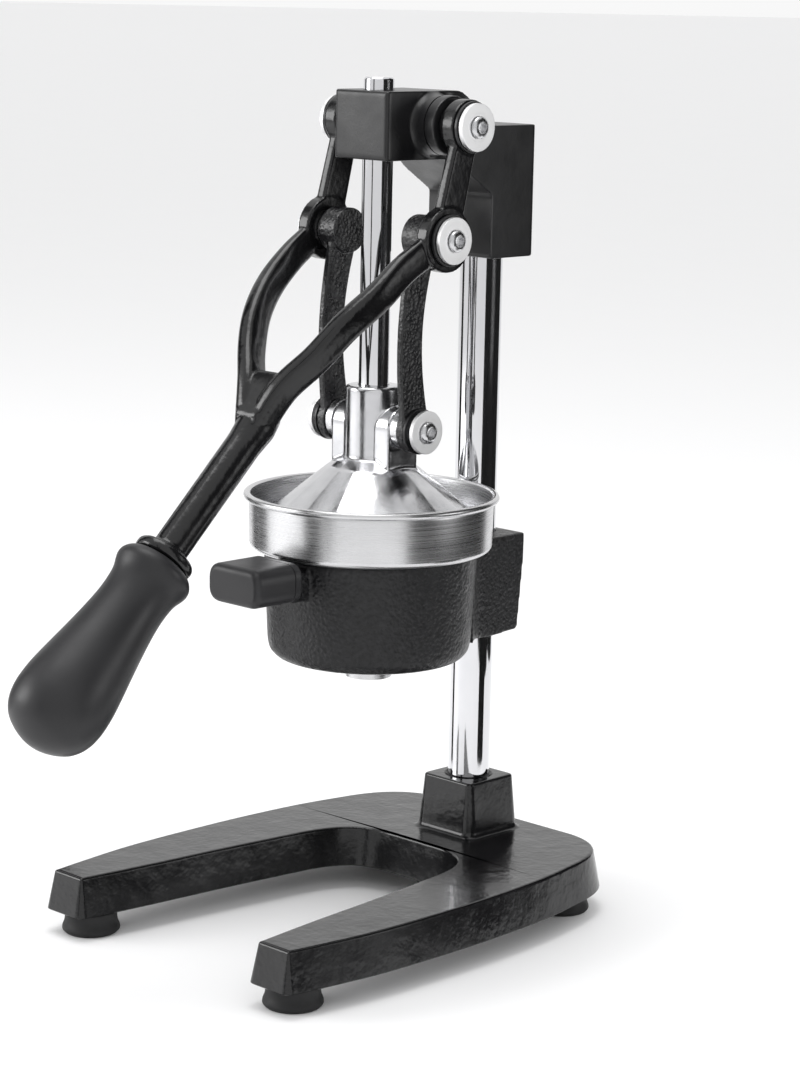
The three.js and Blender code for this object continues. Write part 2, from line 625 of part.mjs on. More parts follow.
// Each ring lies between two stations along X, counted outwards from the middle of the press.
const RINGS = {
  top_black_washer: { pivot: TOP_PIVOT, radius: 12, from: 42.9, to: 44.5, look: BLACK_STEEL },
  top_washer: { pivot: TOP_PIVOT, radius: 11.2, from: 44.8, to: 47.2, look: BRUSHED },
  elbow_spacer: { pivot: ELBOW, radius: 9, from: 33.5, to: 35.7, look: ZINC },
  elbow_black_washer: { pivot: ELBOW, radius: 12.2, from: 43.2, to: 44.8, look: BLACK_STEEL },
  elbow_washer: { pivot: ELBOW, radius: 11, from: 45.1, to: 47.3, look: BRUSHED },
  lower_spacer: { pivot: LOWER_PIVOT, radius: 9.8, from: 19.7, to: 24, look: ZINC },
  lower_black_washer: { pivot: LOWER_PIVOT, radius: 10.9, from: 29.3, to: 30.8, look: BLACK_STEEL },
  lower_shoulder: { pivot: LOWER_PIVOT, radius: 8, from: 31.1, to: 32.7, look: ZINC },
  lower_washer: { pivot: LOWER_PIVOT, radius: 10.3, from: 33, to: 35.2, look: BRUSHED },
};
const SCREWS = {
  top_pivot_screw: { pivot: TOP_PIVOT, shankEnd: 18, headFace: 47.5 },
  elbow_screw: { pivot: ELBOW, shankEnd: 33.6, headFace: 47.6 },
  lower_pivot_screw: { pivot: LOWER_PIVOT, shankEnd: 11.2, headFace: 35.5 },
};
Object.entries(SIDES).forEach(([hand, side]) => {
  place(`link_${hand}`, link(side), HAMMERED);
  Object.entries(RINGS).forEach(([name, { pivot, radius, from, to, look }]) => {
    place(`${name}_${hand}`, turnedX(ring(BORE_R, radius, from, to), 20, pivot, side), look);
  });
  Object.entries(SCREWS).forEach(([name, { pivot, shankEnd, headFace }]) => {
    place(`${name}_${hand}`, pivotScrew(shankEnd, headFace, pivot, side), ZINC);
  });
});

export default part;
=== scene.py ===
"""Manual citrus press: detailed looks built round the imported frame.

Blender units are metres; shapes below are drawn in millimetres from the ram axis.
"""
import json
import math

import bpy
import bmesh
from mathutils import Matrix, Vector
from mathutils.geometry import tessellate_polygon


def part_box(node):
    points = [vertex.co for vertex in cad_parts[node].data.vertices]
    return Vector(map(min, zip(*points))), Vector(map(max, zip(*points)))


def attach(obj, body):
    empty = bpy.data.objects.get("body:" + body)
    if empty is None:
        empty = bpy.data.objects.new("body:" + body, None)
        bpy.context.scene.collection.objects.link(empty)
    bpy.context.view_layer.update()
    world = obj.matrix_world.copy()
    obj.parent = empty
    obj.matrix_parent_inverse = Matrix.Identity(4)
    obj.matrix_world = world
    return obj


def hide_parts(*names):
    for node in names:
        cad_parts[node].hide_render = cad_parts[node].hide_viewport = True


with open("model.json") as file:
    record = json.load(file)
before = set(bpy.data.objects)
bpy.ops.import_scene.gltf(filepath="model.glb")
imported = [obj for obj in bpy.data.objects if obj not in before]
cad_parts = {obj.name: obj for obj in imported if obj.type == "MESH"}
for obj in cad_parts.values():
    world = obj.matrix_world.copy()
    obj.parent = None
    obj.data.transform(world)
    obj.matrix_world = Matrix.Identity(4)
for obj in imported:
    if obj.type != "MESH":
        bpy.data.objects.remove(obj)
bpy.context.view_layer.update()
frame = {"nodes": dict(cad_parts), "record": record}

MM = 0.001
TAU = 2 * math.pi


def centre(node):
    low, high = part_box(node)
    return (low + high) / (2 * MM)


RAM = centre("ram_rod")
COLUMN = centre("column") - RAM
ELBOW = centre("elbow_washer_right") - RAM
JOINTS = {j["name"]: j for j in frame["record"]["behaviour"]["joints"]}


def pivot(joint):
    spot = JOINTS[joint]["pos_m"]
    return (spot[1] / MM - RAM.y, spot[2] / MM)


TOP = pivot("lever_hinge")
LOWER = pivot("link_right_hinge")
MID = (ELBOW.y, centre("elbow_washer_right").z)
SIDES = {"right": 1, "left": -1}


def top_of(node):
    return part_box(node)[1].z / MM


def bottom_of(node):
    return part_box(node)[0].z / MM


# ------------------------------------------------------------------ camera
CAMERA_AZIMUTH = math.radians(44.72)
CAMERA_DISTANCE = 1375.2
CAMERA_HEIGHT = 452.7
CAMERA_PITCH = math.radians(10.976)
CAMERA_ROLL = math.radians(1.172)
CAMERA_PAN = math.radians(-0.591)
FOCAL_PIXELS = 2899.41
IMAGE_WIDTH = 800
SENSOR_MM = 36


def place_camera():
    data = bpy.data.cameras.new("camera")
    data.sensor_fit = "HORIZONTAL"
    data.sensor_width = SENSOR_MM
    data.lens = FOCAL_PIXELS / IMAGE_WIDTH * SENSOR_MM
    data.clip_start = 0.01
    data.clip_end = 50
    camera = bpy.data.objects.new("camera", data)
    bpy.context.scene.collection.objects.link(camera)
    heading = CAMERA_AZIMUTH + CAMERA_PAN
    right = Vector((math.cos(heading), math.sin(heading), 0))
    ahead = Vector((-math.sin(heading), math.cos(heading), 0))
    up = Vector((0, 0, 1))
    look = ahead * math.cos(CAMERA_PITCH) - up * math.sin(CAMERA_PITCH)
    tall = up * math.cos(CAMERA_PITCH) + ahead * math.sin(CAMERA_PITCH)
    cos_r, sin_r = math.cos(CAMERA_ROLL), math.sin(CAMERA_ROLL)
    x_axis = right * cos_r + tall * sin_r
    y_axis = tall * cos_r - right * sin_r
    turn = Matrix((x_axis, y_axis, -look)).transposed().to_4x4()
    spot = Vector((CAMERA_DISTANCE * math.sin(CAMERA_AZIMUTH),
                   -CAMERA_DISTANCE * math.cos(CAMERA_AZIMUTH) + RAM.y, CAMERA_HEIGHT))
    camera.matrix_world = Matrix.Translation(spot * MM) @ turn
    bpy.context.scene.camera = camera


place_camera()


# ------------------------------------------------------------------ materials
ROUGH_SPAN = (0.3, 0.7)
TINT_SPAN = (0.35, 0.65)


class Look:
    """A Principled material with room for procedural colour, roughness and bump."""

    def __init__(self, name, colour, roughness, metallic=0.0, coat=0.0, coat_roughness=0.03,
                 specular=0.5):
        self.material = bpy.data.materials.new(name)
        self.material.use_nodes = True
        self.tree = self.material.node_tree
        self.shader = self.tree.nodes["Principled BSDF"]
        self.shader.inputs["Base Color"].default_value = (*colour, 1)
        self.shader.inputs["Roughness"].default_value = roughness
        self.shader.inputs["Metallic"].default_value = metallic
        self.shader.inputs["Coat Weight"].default_value = coat
        self.shader.inputs["Coat Roughness"].default_value = coat_roughness
        self.shader.inputs["Specular IOR Level"].default_value = specular
        self.colour = colour
        self.normal = None
        coordinates = self.node("ShaderNodeTexCoord")
        self.object_space = coordinates.outputs["Object"]

    def node(self, kind, **values):
        made = self.tree.nodes.new(kind)
        for key, value in values.items():
            setattr(made, key, value)
        return made

    def link(self, a, b):
        self.tree.links.new(a, b)

    def stretched(self, scale):
        mapping = self.node("ShaderNodeMapping")
        mapping.inputs["Scale"].default_value = scale
        self.link(self.object_space, mapping.inputs["Vector"])
        return mapping.outputs["Vector"]

    def noise(self, scale, detail=2.0, rough=0.5, vector=None):
        made = self.node("ShaderNodeTexNoise")
        made.inputs["Scale"].default_value = scale
        made.inputs["Detail"].default_value = detail
        made.inputs["Roughness"].default_value = rough
        self.link(vector or self.object_space, made.inputs["Vector"])
        return made.outputs["Fac"]

    def cells(self, scale, smoothness=0.6):
        made = self.node("ShaderNodeTexVoronoi", feature="SMOOTH_F1")
        made.inputs["Scale"].default_value = scale
        made.inputs["Smoothness"].default_value = smoothness
        self.link(self.object_space, made.inputs["Vector"])
        return made.outputs["Distance"]

    def spread(self, value, low, high, start, end):
        """Maps the middle of a noise, from start to end, onto low to high."""
        made = self.node("ShaderNodeMapRange")
        made.inputs["From Min"].default_value = start
        made.inputs["From Max"].default_value = end
        made.inputs["To Min"].default_value = low
        made.inputs["To Max"].default_value = high
        self.link(value, made.inputs["Value"])
        return made.outputs["Result"]

    def rough(self, value, low, high):
        self.link(self.spread(value, low, high, *ROUGH_SPAN), self.shader.inputs["Roughness"])

    def tint(self, value, other):
        mix = self.node("ShaderNodeMix", data_type="RGBA")
        mix.inputs[6].default_value = (*self.colour, 1)
        mix.inputs[7].default_value = (*other, 1)
        self.link(self.spread(value, 0, 1, *TINT_SPAN), mix.inputs[0])
        self.link(mix.outputs[2], self.shader.inputs["Base Color"])

    def bump(self, value, height_mm):
        made = self.node("ShaderNodeBump")
        made.inputs["Strength"].default_value = 1.0
        made.inputs["Distance"].default_value = height_mm * MM
        self.link(value, made.inputs["Height"])
        if self.normal:
            self.link(self.normal, made.inputs["Normal"])
        self.normal = made.outputs["Normal"]
        self.link(self.normal, self.shader.inputs["Normal"])

    def radius_noise(self, fine, along):
        """Noise that is drawn out round the object's own X axis or Z axis, as turning leaves it."""
        parts = self.node("ShaderNodeSeparateXYZ")
        self.link(self.object_space, parts.inputs[0])
        keep = parts.outputs["X" if along == "X" else "Z"]
        others = [parts.outputs[a] for a in "XYZ" if a != along]
        squares = []
        for other in others:
            square = self.node("ShaderNodeMath", operation="MULTIPLY")
            self.link(other, square.inputs[0])
            self.link(other, square.inputs[1])
            squares.append(square.outputs[0])
        total = self.node("ShaderNodeMath", operation="ADD")
        self.link(squares[0], total.inputs[0])
        self.link(squares[1], total.inputs[1])
        root = self.node("ShaderNodeMath", operation="SQRT")
        self.link(total.outputs[0], root.inputs[0])
        spot = self.node("ShaderNodeCombineXYZ")
        self.link(root.outputs[0], spot.inputs[0])
        self.link(keep, spot.inputs[1])
        return self.noise(fine, 3.0, 0.6, spot.outputs[0])


def gloss_paint():
    look = Look("gloss_black_paint", (0.0036, 0.0036, 0.004), 0.2, coat=0.12, coat_roughness=0.05,
                specular=0.42)
    peel = look.noise(330, 1.5)
    look.bump(look.noise(90, 1.0), 0.32)
    look.bump(peel, 0.16)
    look.rough(look.noise(60, 3.0), 0.16, 0.27)
    look.tint(look.noise(25, 3.0), (0.0065, 0.0065, 0.0072))
    return look.material


def satin_paint():
    """The flatter coat on the head block."""
    look = Look("satin_black_paint", (0.0042, 0.0042, 0.0047), 0.3, coat=0.08, coat_roughness=0.15,
                specular=0.42)
    look.bump(look.noise(1100, 3.0), 0.035)
    look.bump(look.noise(240, 1.0), 0.04)
    look.rough(look.noise(80, 3.0), 0.30, 0.42)
    look.tint(look.noise(30, 3.0), (0.0085, 0.0085, 0.0095))
    return look.material


def cast_paint():
    """Black paint over the cast, slightly hammered skin of the links."""
    look = Look("cast_black_paint", (0.0046, 0.0046, 0.0052), 0.27, coat=0.15, coat_roughness=0.1)
    look.bump(look.cells(620, 0.8), 0.42)
    look.bump(look.noise(1300, 3.0), 0.14)
    look.rough(look.noise(200, 3.0), 0.22, 0.38)
    look.tint(look.noise(60, 4.0), (0.009, 0.009, 0.0102))
    return look.material


def hammered_paint():
    look = Look("hammered_black_paint", (0.0046, 0.0046, 0.0052), 0.3, coat=0.06, coat_roughness=0.12,
                specular=0.34)
    look.bump(look.cells(560, 0.9), 0.55)
    look.bump(look.noise(900, 4.0, 0.6), 0.32)
    look.rough(look.noise(240, 3.0), 0.28, 0.46)
    look.tint(look.noise(420, 4.0), (0.011, 0.011, 0.0122))
    return look.material


def rubber():
    look = Look("foot_rubber", (0.0075, 0.0075, 0.008), 0.5, specular=0.35)
    look.bump(look.noise(1800, 3.0), 0.04)
    look.rough(look.noise(120, 3.0), 0.48, 0.66)
    look.tint(look.noise(70, 3.0), (0.012, 0.012, 0.0126))
    return look.material


def soft_grip():
    look = Look("soft_grip", (0.0125, 0.0124, 0.0137), 0.4, specular=0.4)
    look.bump(look.noise(2600, 2.0), 0.02)
    look.bump(look.noise(160, 1.0), 0.03)
    look.rough(look.noise(50, 3.0), 0.38, 0.48)
    look.tint(look.noise(18, 2.0), (0.0165, 0.0163, 0.018))
    return look.material


def chrome():
    look = Look("chrome_rod", (0.74, 0.74, 0.755), 0.06, metallic=1.0)
    look.bump(look.noise(900, 2.0, vector=look.stretched((1, 1, 0.03))), 0.0012)
    look.rough(look.noise(260, 3.0, vector=look.stretched((1, 1, 0.05))), 0.035, 0.095)
    look.tint(look.noise(30, 3.0), (0.69, 0.693, 0.712))
    return look.material


def brushed(name, along, fine, colour=(0.66, 0.66, 0.67), low=0.2, high=0.34):
    """Steel with turning marks round the object's X or Z axis."""
    look = Look(name, colour, low, metallic=1.0)
    lines = look.radius_noise(fine, along)
    look.bump(lines, 0.006)
    look.rough(lines, low, high)
    look.tint(look.noise(35, 3.0), tuple(0.92 * c for c in colour))
    return look.material


def zinc():
    look = Look("zinc_plate", (0.66, 0.66, 0.67), 0.24, metallic=1.0)
    look.bump(look.noise(1300, 3.0), 0.01)
    look.rough(look.noise(400, 3.0), 0.18, 0.34)
    look.tint(look.noise(150, 3.0), (0.56, 0.565, 0.58))
    return look.material


def black_steel():
    look = Look("black_steel", (0.008, 0.008, 0.009), 0.3, metallic=0.2, coat=0.15, coat_roughness=0.2)
    look.bump(look.noise(1200, 3.0), 0.02)
    look.rough(look.noise(300, 3.0), 0.24, 0.4)
    look.tint(look.noise(120, 3.0), (0.014, 0.014, 0.0155))
    return look.material


def polished_casting():
    look = Look("polished_aluminium", (0.66, 0.66, 0.675), 0.16, metallic=1.0)
    look.bump(look.noise(420, 3.0), 0.03)
    look.bump(look.noise(1500, 2.0, vector=look.stretched((1, 1, 0.25))), 0.005)
    look.rough(look.noise(90, 4.0), 0.12, 0.27)
    look.tint(look.noise(45, 3.0), (0.57, 0.572, 0.588))
    return look.material


def floor_paint():
    look = Look("studio_floor", (0.90, 0.90, 0.905), 0.6, specular=0.2)
    look.rough(look.noise(8, 2.0), 0.55, 0.65)
    return look.material


GLOSS = gloss_paint()
SATIN = satin_paint()
CAST = cast_paint()
HAMMERED = hammered_paint()
RUBBER = rubber()
GRIP = soft_grip()
CHROME = chrome()
BOWL_STEEL = brushed("brushed_bowl_steel", "Z", 1500)
DISC_STEEL = brushed("turned_washer_steel", "X", 2600, (0.93, 0.93, 0.935), 0.4, 0.52)
ZINC = zinc()
BLACK = black_steel()
BELL = polished_casting()


# ------------------------------------------------------------------ mesh tools
SHARP = math.radians(32)
WELD = 4e-6
FIRST_WELD = 1e-7
FAR = 60                # cutters run at least this far out along X, mm
# voxel size in mm and smoothing passes of each piece that is melted into one skin
CAST_SKINS = {"head_cast": (0.6, 5), "holder": (0.8, 4), "bell_cast": (0.7, 3), "lever_cast": (0.62, 5),
              "link": (0.45, 3)}


def finish_mesh(name, mesh, material, origin=(0, 0, 0), weighted=True):
    """Moves the mesh so that its object stands at origin (mm), shades it and links it."""
    mesh.materials.clear()
    mesh.materials.append(material)
    start = Vector((origin[0], origin[1] + RAM.y, origin[2])) * MM
    mesh.transform(Matrix.Translation(-start))
    work = bmesh.new()
    work.from_mesh(mesh)
    bmesh.ops.remove_doubles(work, verts=work.verts, dist=WELD)
    bmesh.ops.dissolve_degenerate(work, edges=work.edges, dist=WELD)
    work.to_mesh(mesh)
    work.free()
    piece = bpy.data.objects.new(name, mesh)
    piece.location = start
    bpy.context.scene.collection.objects.link(piece)
    mesh.shade_smooth()
    mesh.set_sharp_from_angle(angle=SHARP)
    if weighted:
        even = piece.modifiers.new("even_normals", "WEIGHTED_NORMAL")
        even.keep_sharp = True
    return piece


def to_mesh(name, points, faces):
    """Points are in mm from the ram axis; the mesh is in metres in the row frame."""
    mesh = bpy.data.meshes.new(name)
    mesh.from_pydata([(x * MM, (y + RAM.y) * MM, z * MM) for x, y, z in points], [], faces)
    mesh.validate()
    work = bmesh.new()
    work.from_mesh(mesh)
    bmesh.ops.remove_doubles(work, verts=work.verts, dist=FIRST_WELD)
    bmesh.ops.recalc_face_normals(work, faces=work.faces)
    work.to_mesh(mesh)
    work.free()
    return mesh


def softened(points, radius, steps=4, closed=False):
    """Rounds the corners of a polyline with short curves."""
    count = len(points)
    result = []
    for i, corner in enumerate(points):
        if not closed and i in (0, count - 1):
            result.append(tuple(corner))
            continue
        before, after = points[i - 1], points[(i + 1) % count]
        here = Vector(corner)
        back, ahead = Vector(before) - here, Vector(after) - here
        reach = min(radius, back.length * 0.48, ahead.length * 0.48)
        if reach < 1e-4:
            result.append(tuple(corner))
            continue
        a, b = here + back.normalized() * reach, here + ahead.normalized() * reach
        for k in range(steps + 1):
            t = k / steps
            spot = a * (1 - t) ** 2 + here * 2 * t * (1 - t) + b * t ** 2
            result.append(tuple(spot))
    return result


def smooth_curve(points, per_span=8):
    """Catmull-Rom through 2-D or 3-D points."""
    vectors = [Vector(p) for p in points]
    result = []
    last = len(vectors) - 1
    for i in range(last):
        p0, p1 = vectors[max(i - 1, 0)], vectors[i]
        p2, p3 = vectors[i + 1], vectors[min(i + 2, last)]
        for k in range(per_span):
            t = k / per_span
            bend = (2 * p0 - 5 * p1 + 4 * p2 - p3) * t ** 2
            twist = (3 * p1 - p0 - 3 * p2 + p3) * t ** 3
            result.append(tuple(0.5 * ((2 * p1) + (p2 - p0) * t + bend + twist)))
    result.append(tuple(vectors[-1]))
    return result


def turned(profile, segments, put=None, wobble=None):
    """Points and faces of a turned body.

    Profile points are (radius, height); put maps x, y, h to space.
    """
    put = put or upright()
    points, faces, rings = [], [], []
    for r, h in profile:
        if r < 1e-6:
            rings.append([len(points)])
            points.append(put(0, 0, h))
            continue
        ring = []
        for k in range(segments):
            angle = TAU * k / segments
            reach = wobble(r, h, angle) if wobble else r
            ring.append(len(points))
            points.append(put(reach * math.cos(angle), reach * math.sin(angle), h))
        rings.append(ring)
    for low, high in zip(rings, rings[1:]):
        for k in range(segments):
            n = (k + 1) % segments
            if len(low) == 1 and len(high) == 1:
                break
            if len(low) == 1:
                faces.append((low[0], high[n], high[k]))
            elif len(high) == 1:
                faces.append((low[k], low[n], high[0]))
            else:
                faces.append((low[k], low[n], high[n], high[k]))
    return points, faces


def upright(x0=0, y0=0):
    return lambda x, y, h: (x0 + x, y0 + y, h)


def along_x(spot, side=1):
    """Puts a turned body on an axis along X through spot (y, z); height counts outwards."""
    return lambda x, y, h: (side * h, spot[0] + x, spot[1] + y)


def ring_body(profile):
    return profile + [profile[0]]


def turned_piece(name, profile, material, put, origin, segments):
    return finish_mesh(name, solid(name, turned(profile, segments, put)), material, origin)


def outset(outline, amount):
    """Moves each point of a closed 2-D outline along the outline's outward normal."""
    if abs(amount) < 1e-9:
        return list(outline)
    count = len(outline)
    following = outline[1:] + outline[:1]
    area = sum(a[0] * b[1] - b[0] * a[1] for a, b in zip(outline, following))
    turn = 1 if area > 0 else -1
    result = []
    for i in range(count):
        before = Vector(outline[i]) - Vector(outline[i - 1])
        after = Vector(outline[(i + 1) % count]) - Vector(outline[i])
        a, b = before.normalized(), after.normalized()
        na, nb = Vector((a.y, -a.x)) * turn, Vector((b.y, -b.x)) * turn
        mid = na + nb
        mid = mid.normalized() if mid.length > 1e-6 else na
        stretch = 1 / max(mid.dot(na), 0.4)
        result.append(tuple(Vector(outline[i]) + mid * amount * stretch))
    return result


def strips(rings):
    """Faces between rings that all have the same number of points."""
    faces = []
    count = len(rings[0])
    for low, high in zip(rings, rings[1:]):
        for k in range(count):
            n = (k + 1) % count
            faces.append((low[k], low[n], high[n], high[k]))
    return faces


def prism(outline, levels, put):
    """A stack of outset outlines with flat ends. Levels are (outset, height)."""
    points, rings = [], []
    for amount, height in levels:
        ring = []
        for u, v in outset(outline, amount):
            ring.append(len(points))
            points.append(put(u, v, height))
        rings.append(ring)
    faces = strips(rings)
    for a, b, c in tessellate_polygon([[Vector((u, v, 0)) for u, v in outline]]):
        faces.append((rings[0][a], rings[0][b], rings[0][c]))
        faces.append((rings[-1][c], rings[-1][b], rings[-1][a]))
    return points, faces


def edge_levels(h0, h1, radius, steps=4):
    """Levels of a slab with rounded edges."""
    levels = rounded_low(radius, h0, steps)
    for k in range(steps + 1):
        a = math.pi / 2 * (1 - k / steps)
        levels.append((-radius * (1 - math.sin(a)), h1 - radius * (1 - math.cos(a))))
    return levels


def rounded_low(radius, low, steps):
    """Levels that widen from a flat low end to the full outline."""
    turns = [math.pi / 2 * k / steps for k in range(steps + 1)]
    return [(-radius * (1 - math.sin(a)), low + radius * (1 - math.cos(a))) for a in turns]


def rounded_high(radius, high, steps):
    """Levels that close in from the full outline to a flat high end."""
    turns = [math.pi / 2 * k / steps for k in range(steps + 1)]
    return [(-radius * (1 - math.cos(a)), high - radius * (1 - math.sin(a))) for a in turns]


def flat_z(u, v, h):
    return (u, v, h)


def flat_x(u, v, h):
    return (h, u, v)


def evaluated(piece, name):
    graph = bpy.context.evaluated_depsgraph_get()
    mesh = bpy.data.meshes.new_from_object(piece.evaluated_get(graph))
    mesh.name = name
    old = piece.data
    bpy.data.objects.remove(piece)
    bpy.data.meshes.remove(old)
    return mesh


def carved(name, mesh, cutters, operation="DIFFERENCE"):
    """Exact booleans on a mesh in row-frame metres."""
    body = bpy.data.objects.new(name, mesh)
    bpy.context.scene.collection.objects.link(body)
    tools = []
    for cutter in cutters:
        tool = bpy.data.objects.new(name + "_tool", cutter)
        bpy.context.scene.collection.objects.link(tool)
        cut = body.modifiers.new("cut", "BOOLEAN")
        cut.operation = operation
        cut.solver = "EXACT"
        cut.object = tool
        tools.append(tool)
    bpy.context.view_layer.update()
    result = evaluated(body, name)
    for tool in tools:
        data = tool.data
        bpy.data.objects.remove(tool)
        bpy.data.meshes.remove(data)
    return result


def melted(name, meshes):
    """Joins overlapping solids into one cast skin with softened edges and inner corners."""
    voxel_mm, passes = CAST_SKINS[name]
    work = bmesh.new()
    for mesh in meshes:
        work.from_mesh(mesh)
    together = bpy.data.meshes.new(name)
    work.to_mesh(together)
    work.free()
    body = bpy.data.objects.new(name, together)
    bpy.context.scene.collection.objects.link(body)
    skin = body.modifiers.new("skin", "REMESH")
    skin.mode = "VOXEL"
    skin.voxel_size = voxel_mm * MM
    ease = body.modifiers.new("ease", "SMOOTH")
    ease.iterations = passes
    ease.factor = 0.5
    bpy.context.view_layer.update()
    return evaluated(body, name)


def solid(name, parts):
    return to_mesh(name, *parts)


def block(x0, x1, y0, y1, z0, z1, radius=1.0):
    outline = softened([(x0, y0), (x1, y0), (x1, y1), (x0, y1)], radius, 3, closed=True)
    return prism(outline, edge_levels(z0, z1, radius, 3), flat_z)


def rod(radius, h0, h1):
    return [(0, h0), (radius, h0), (radius, h1), (0, h1)]


def put_on(piece, body, slot, *nodes):
    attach(piece, body)
    if nodes:
        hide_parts(*nodes)
    return piece


# ------------------------------------------------------------------ base and feet
BASE_BOTTOM = bottom_of("base_casting")
PEDESTAL_TOP = top_of("base_casting")
BASE_TOP = BASE_BOTTOM + 19.4
LEG_TIP_Y = -129.6
LEG_DRAFT = 3.6
PEDESTAL_HALF = 16.5
PEDESTAL_DRAFT = 2.2
PEDESTAL_FILLET = 3.2
COLUMN_R = 10.5
RAM_R = 7.25
GAP = 0.3
SOCKET_FLOOR = 26
BOLT_HOLE_R = 5.3
BOLT_RECESS_R = 14
BOLT_RECESS_TOP = 19
FOOT_BORE_R = 2.6
FOOT_BORE_TOP = 23
POCKET_ROOF = BASE_TOP - 6.5
BASE_EDGE = 1.6
FLAT_RIM = 0.4          # a flat strip inside the rounded edge keeps the top's shading even
PEDESTAL_EDGE = 1.3
FEET = ["front_right", "front_left", "rear_right", "rear_left"]


def bezier(a, b, c, d, steps=18):
    spots = []
    for k in range(1, steps + 1):
        t = k / steps
        s = 1 - t
        spots.append(tuple(s ** 3 * p + 3 * s * s * t * q + 3 * s * t * t * u + t ** 3 * v
                           for p, q, u, v in zip(a, b, c, d)))
    return spots


def base_outline():
    outer = [(82.2, -127.2), (85.2, -108), (88.6, -80), (89.8, -45), (89.4, -5), (86.5, 35), (81, 66)]
    inner = [(47.6, -2), (52.8, -46), (57.2, -92), (61.4, -126.5)]
    right = smooth_curve(outer, 9)
    right += bezier(outer[-1], (77, 86), (68, 101), (46, 103))
    inside = bezier((16, 35), (36, 34), (44.5, 24), inner[0]) + smooth_curve(inner, 9)[1:]
    tip = softened([(61.4, -126.5), (61.6, LEG_TIP_Y), (82, LEG_TIP_Y), (82.2, -127.2)], 2.2, 5)
    half = [(16, 35)] + inside + tip[1:-1] + right
    return half + [(-x, y) for x, y in reversed(half)]


def base_pockets():
    leg = [(60.5, -94), (81.5, -94), (83.5, -45), (82.5, 10), (79, 50), (60, 55), (54, 10), (59, -45)]
    rear = [(26, 45), (45, 50), (45, 92), (26, 94)]
    cutters = []
    for outline in (leg, rear):
        for side in (1, -1):
            ring = softened([(side * x, y) for x, y in outline], 5, 5, closed=True)
            levels = [(0.8, BASE_BOTTOM - 2), (0.8, BASE_BOTTOM), (0, POCKET_ROOF - 2),
                      (-0.6, POCKET_ROOF - 0.6), (-2, POCKET_ROOF)]
            cutters.append(solid("pocket", prism(ring, levels, flat_z)))
    return cutters


def make_base():
    levels = [(LEG_DRAFT - 0.8, BASE_BOTTOM), (LEG_DRAFT - 0.2, BASE_BOTTOM + 0.5)]
    levels += rounded_high(BASE_EDGE, BASE_TOP, 6)
    levels.append((-BASE_EDGE - FLAT_RIM, BASE_TOP))
    slab = solid("base_slab", prism(base_outline(), levels, flat_z))
    corners = [(-1, -1), (1, -1), (1, 1), (-1, 1)]
    square = softened([(PEDESTAL_HALF * x, COLUMN.y + PEDESTAL_HALF * y) for x, y in corners],
                      3.4, 6, closed=True)
    foot = PEDESTAL_DRAFT + PEDESTAL_FILLET
    stack = [(foot, BASE_TOP - 4), (foot, BASE_TOP)]
    for k in range(1, 7):
        a = math.pi / 2 * k / 6
        stack.append((PEDESTAL_DRAFT + PEDESTAL_FILLET * (1 - math.sin(a)),
                      BASE_TOP + PEDESTAL_FILLET * (1 - math.cos(a))))
    stack += rounded_high(PEDESTAL_EDGE, PEDESTAL_TOP, 5)
    pedestal = solid("base_pedestal", prism(square, stack, flat_z))
    body = carved("base_body", slab, [pedestal], "UNION")
    at_column = upright(0, COLUMN.y)
    socket = [(0, SOCKET_FLOOR), (COLUMN_R + GAP, SOCKET_FLOOR), (COLUMN_R + GAP, PEDESTAL_TOP - 2),
              (COLUMN_R + 2, PEDESTAL_TOP + 0.2), (COLUMN_R + 2, PEDESTAL_TOP + 9), (0, PEDESTAL_TOP + 9)]
    cutters = [solid("socket", turned(socket, 72, at_column)),
               solid("bolt_hole", turned(rod(BOLT_HOLE_R, 0, SOCKET_FLOOR + 2), 40, at_column)),
               solid("bolt_recess", turned(rod(BOLT_RECESS_R, 0, BOLT_RECESS_TOP), 56, at_column))]
    for spot in FEET:
        at = centre("foot_" + spot) - RAM
        bore = turned(rod(FOOT_BORE_R, 0, FOOT_BORE_TOP), 24, upright(at.x, at.y))
        cutters.append(solid("foot_bore", bore))
    body = carved("base_plate", body, cutters + base_pockets())
    work = bmesh.new()
    work.from_mesh(body)
    bmesh.ops.dissolve_limit(work, angle_limit=math.radians(0.05), verts=work.verts, edges=work.edges)
    work.to_mesh(body)
    work.free()
    piece = finish_mesh("base_plate", body, GLOSS)
    put_on(piece, "stand", "gloss_paint", "base_casting")


def make_feet():
    top = top_of("foot_front_right")
    profile = [(5.6, 0.0), (5.6, 0.0), (12.6, 0.0), (14.05, 1.6), (13.9, 3.0), (12.95, 5.4), (12.6, 7.4),
               (12.65, top - 0.8), (12.1, top), (2.6, top), (2.6, 4.5), (5.6, 4.5), (5.6, 0.0)]
    profile = [profile[0]] + softened(profile[1:], 0.7, 4)
    for spot in FEET:
        at = centre("foot_" + spot) - RAM
        piece = turned_piece("rubber_foot_" + spot, profile, RUBBER, upright(at.x, at.y),
                             (at.x, at.y, 0), 72)
        put_on(piece, "stand", "foot_rubber", "foot_" + spot)


# ------------------------------------------------------------------ column and head
def make_column():
    top, low = top_of("column"), bottom_of("column")
    profile = softened([(5.2, low), (COLUMN_R - 0.6, low), (COLUMN_R, low + 0.6), (COLUMN_R, top - 0.6),
                        (COLUMN_R - 0.6, top), (0, top)], 0.3, 3)
    profile += [(0, 60), (5.2, 60), (5.2, low)]
    piece = turned_piece("column_tube", profile, CHROME, upright(0, COLUMN.y), (0, COLUMN.y, 0), 128)
    put_on(piece, "stand", "chrome_rod", "column")


